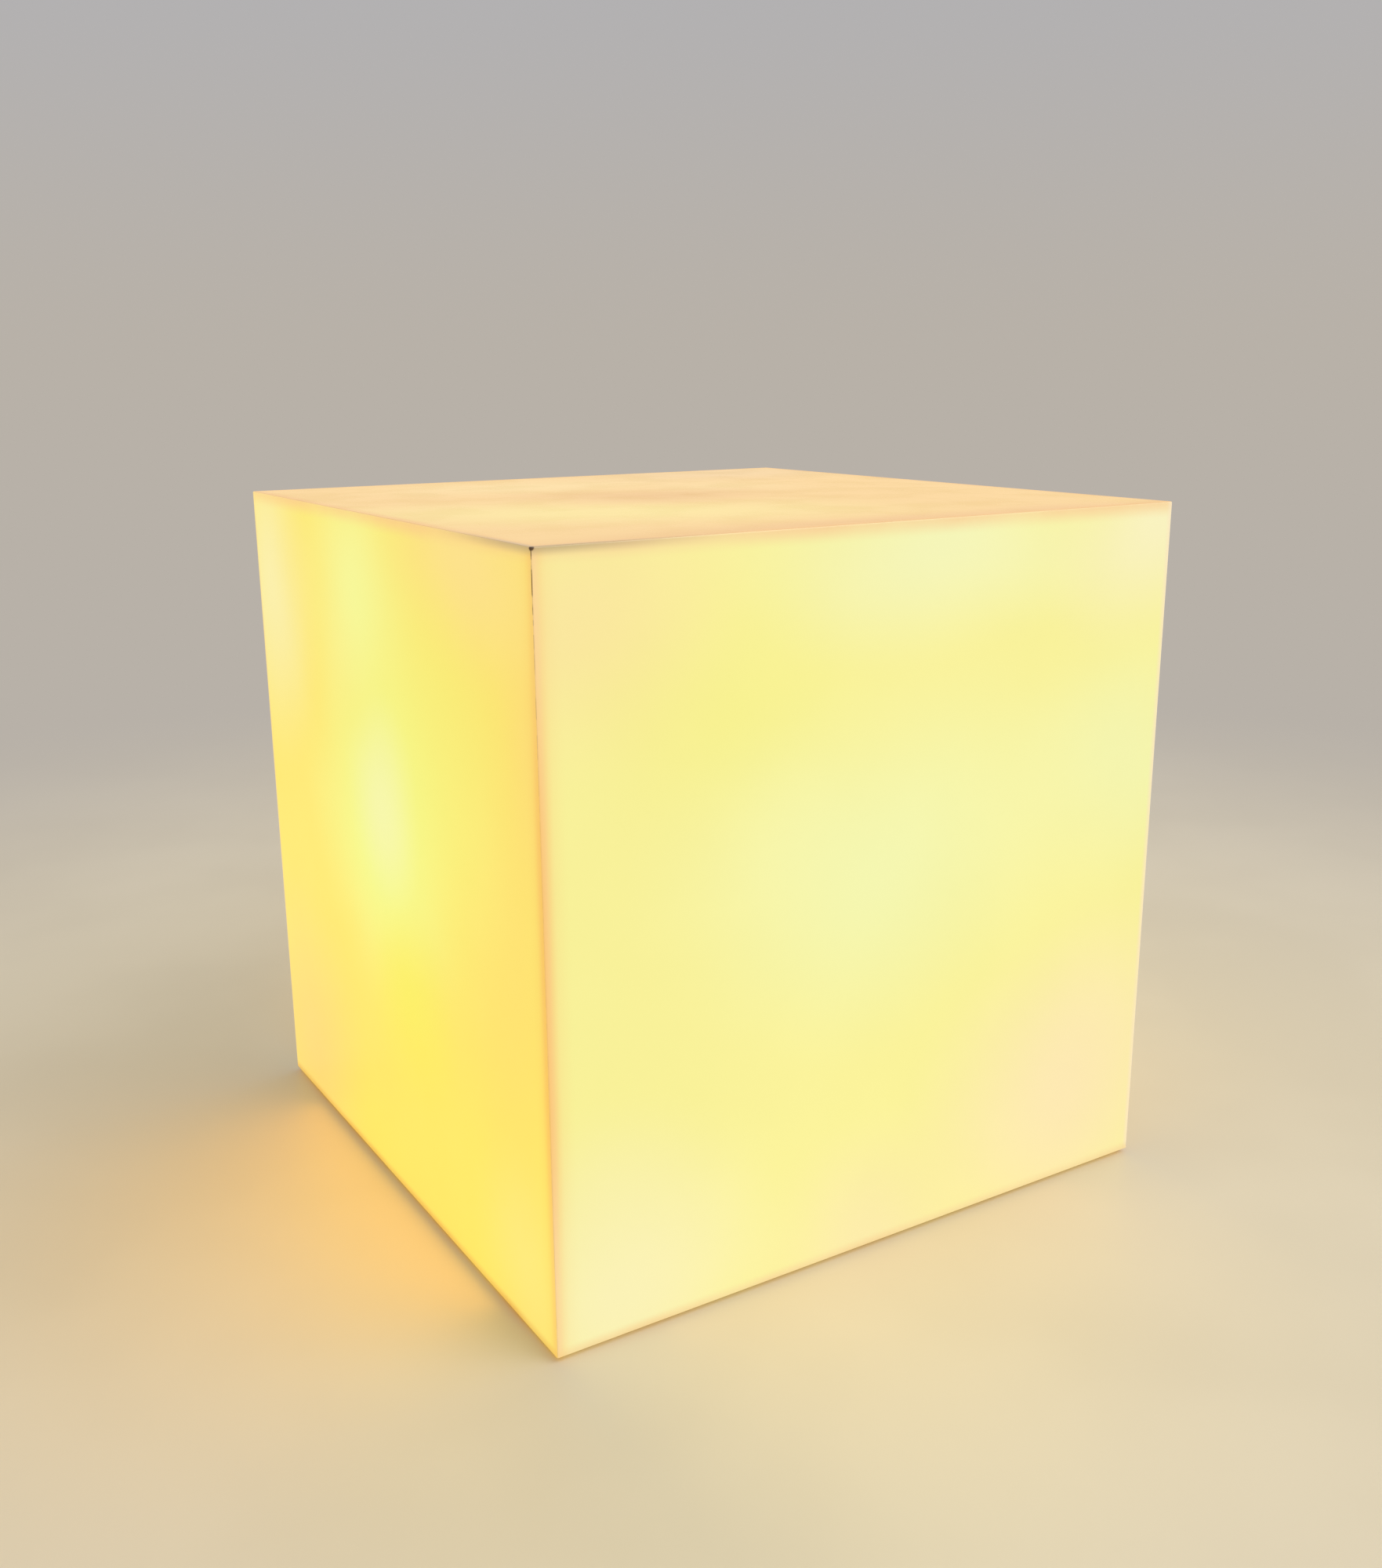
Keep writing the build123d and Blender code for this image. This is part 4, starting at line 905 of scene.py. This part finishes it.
def lit_sheet(side, daylight, base, patches, level_tone, rim_tone, foot_tone, deep_tone):
    """The finish of one lit panel: patches, bands along its top, upright and lower edges, and its joints."""
    finish = begin_finish("lit_" + side, Roughness=0.2, IOR=1.49, Emission_Strength=1.0)
    tree = finish.node_tree
    glow = lay_patches(tree, side, daylight, base, patches)

    place = put(tree, "TexCoord").outputs["Object"]
    x, y, z = put(tree, "SeparateXYZ", {0: place}).outputs
    to_x = calc(tree, "SUBTRACT", half_side, calc(tree, "ABSOLUTE", x))
    to_y = calc(tree, "SUBTRACT", half_side, calc(tree, "ABSOLUTE", y))
    to_top = calc(tree, "SUBTRACT", shade_top, z)
    to_foot = calc(tree, "SUBTRACT", z, shade_foot)
    upright = span(tree, to_x, to_y)
    level = calc(tree, "MINIMUM", span(tree, to_x, to_top), span(tree, to_y, to_top))
    uneven = ease(tree, noise(tree, 0.03), 0.3, 0.7, 0.6, 0.95)
    bands = [(level, level_width, level_tone), (upright, rim_width, rim_tone)]
    bands.append((to_foot, foot_width, foot_tone))
    for distance, width, tone in bands:
        band = calc(tree, "MULTIPLY", fall_off(tree, distance, width), uneven)
        glow = blend_tones(tree, band, glow, lit_tone(tone, daylight))

    near_x = calc(tree, "ADD", x, half_side)
    near_y = calc(tree, "ADD", y, half_side)
    near_arris = span(tree, near_x, near_y)
    deep = fall_off(tree, near_arris, deep_width * 0.5, 0.65)
    deep = calc(tree, "ADD", deep, fall_off(tree, near_arris, deep_width, 0.35))
    deep = calc(tree, "MULTIPLY", deep, ease(tree, z, 0.02, 0.07, 0.6, 1.0))
    deep = calc(tree, "MULTIPLY", deep, ease(tree, to_top, 0.01, 0.07, 0.6, 1.0))
    glow = blend_tones(tree, deep, glow, lit_tone(deep_tone, daylight))

    # Grime and painted shade at the front left corner darken both the glow and the sheet.
    dark, dirt_and_shade = joint_dirt_and_shade(tree, level, near_arris, span(tree, near_x, near_y, to_top), to_top)
    soil_and_shade = blend_tones(tree, dark, smudge_and_shade_tone, crack_tone)
    wire(finish, Emission_Color=blend_tones(tree, dirt_and_shade, glow, soil_and_shade))
    clean = blend_tones(tree, ease(tree, noise(tree, 0.06), 0.3, 0.7), sheet_tone, sheet_cloud_tone)
    wire(finish, Base_Color=blend_tones(tree, dirt_and_shade, clean, soiled_shaded_sheet_tone))
    wire(finish, Roughness=ease(tree, noise(tree, 0.02, 4.0), 0.35, 0.7, 0.12, 0.26))
    bump = put(tree, "Bump", {"Height": noise(tree, 0.015), "Strength": 0.06, "Distance": 0.0003})
    wire(finish, Normal=bump.outputs[0])
    return finish


# The daylight that each side reflects.
reflected = {
    "front": (0.328, 0.292, 0.206),
    "back": (0.185, 0.16, 0.111),
    "left": (0.216, 0.189, 0.137),
    "right": (0.325, 0.288, 0.205),
    "top": (0.402, 0.376, 0.326),
}

# The colour between the patches, and each patch: its place across and up, its two radii, its lean in degrees,
# its colour and its strength.
front_tone = (248, 241, 154)
front_patches = [
    (-0.085, 0.180, 0.050, 0.045, 0, (251, 230, 160), 0.9),
    (-0.045, 0.160, 0.060, 0.045, 0, (247, 241, 142), 0.8),
    (0.075, 0.030, 0.080, 0.060, 20, (251, 230, 180), 0.9),
    (0.000, 0.115, 0.085, 0.060, 0, (244, 246, 176), 1.0),
    (0.085, 0.125, 0.060, 0.050, 0, (244, 245, 176), 0.9),
    (0.015, 0.196, 0.080, 0.030, 0, (244, 245, 186), 0.9),
    (0.095, 0.195, 0.050, 0.040, 0, (248, 241, 194), 0.9),
    (-0.080, 0.015, 0.055, 0.050, 0, (249, 241, 186), 0.9),
    (-0.005, 0.000, 0.050, 0.045, 0, (249, 234, 174), 0.9),
]
left_tone = (252, 231, 116)
left_patches = [
    (-0.075, 0.018, 0.060, 0.070, 0, (253, 219, 132), 0.9),
    (0.084, 0.100, 0.038, 0.130, 0, (253, 226, 118), 0.9),
    (0.098, 0.165, 0.028, 0.060, 0, (254, 219, 122), 0.8),
    (0.065, 0.195, 0.055, 0.040, 0, (253, 225, 142), 0.9),
    (0.085, 0.015, 0.040, 0.040, 0, (254, 231, 134), 0.9),
    (-0.088, 0.172, 0.048, 0.068, 0, (249, 238, 172), 0.9),
    (-0.010, 0.180, 0.055, 0.060, 0, (245, 247, 154), 0.9),
    (0.020, 0.130, 0.070, 0.070, 0, (245, 246, 132), 0.8),
    (-0.006, 0.110, 0.065, 0.060, -20, (243, 247, 142), 1.0),
    (0.012, 0.065, 0.040, 0.040, 0, (249, 240, 104), 0.7),
    (0.010, 0.000, 0.090, 0.050, 0, (252, 227, 118), 0.8),
    (0.000, 0.123, 0.030, 0.032, 0, (244, 245, 172), 0.9),
]
top_tone = (251, 217, 162)
top_patches = [
    (0.060, 0.080, 0.080, 0.050, 0, (244, 215, 172), 0.7),
    (-0.022, 0.062, 0.070, 0.045, 0, (253, 227, 174), 0.8),
    (0.030, 0.030, 0.045, 0.040, 0, (252, 223, 170), 0.8),
    (-0.045, -0.035, 0.110, 0.052, -24, (253, 232, 168), 1.0),
    (-0.006, 0.009, 0.060, 0.034, -15, (243, 205, 145), 0.95),
    (0.000, -0.100, 0.200, 0.020, 0, (244, 204, 138), 0.9),
]

# The colours of the bands along the top arrises, the upright arrises, the lower edge and the deep joint.
front_edges = ((248, 210, 154), (251, 230, 192), (246, 217, 156), (250, 201, 124))
left_edges = ((251, 208, 138), (250, 218, 140), (238, 188, 84), (249, 200, 106))
top_edges = ((247, 205, 146),) * 4

# The back looks like the front, and the right like the left.
front_look = (front_tone, front_patches, *front_edges)
left_look = (left_tone, left_patches, *left_edges)
top_look = (top_tone, top_patches, *top_edges)
looks = {"front": front_look, "back": front_look, "left": left_look, "right": left_look, "top": top_look}
for side, look in looks.items():
    dress(lit_sheet(side, reflected[side], *look), side + "_panel")

# ---- Corner blocks -----------------------------------------------------------------------------------------
# Four triangular blocks of opal acrylic, sawn and bonded inside the lower corners of the shade. The shade
# stands on the plate with them, and the light comes through them.
block_finish = sheet_finish("sawn_block", shown(228, 222, 204), shown(214, 206, 184))
block_shader = block_finish.node_tree.nodes["Principled BSDF"]
# A faint painted glow stands for the light of the lit shade coming through the blocks.
block_shader.inputs["Emission Color"].default_value = shown(250, 226, 140)
block_shader.inputs["Emission Strength"].default_value = 0.45
dress(block_finish, *["corner_block_" + corner for corner in corners])
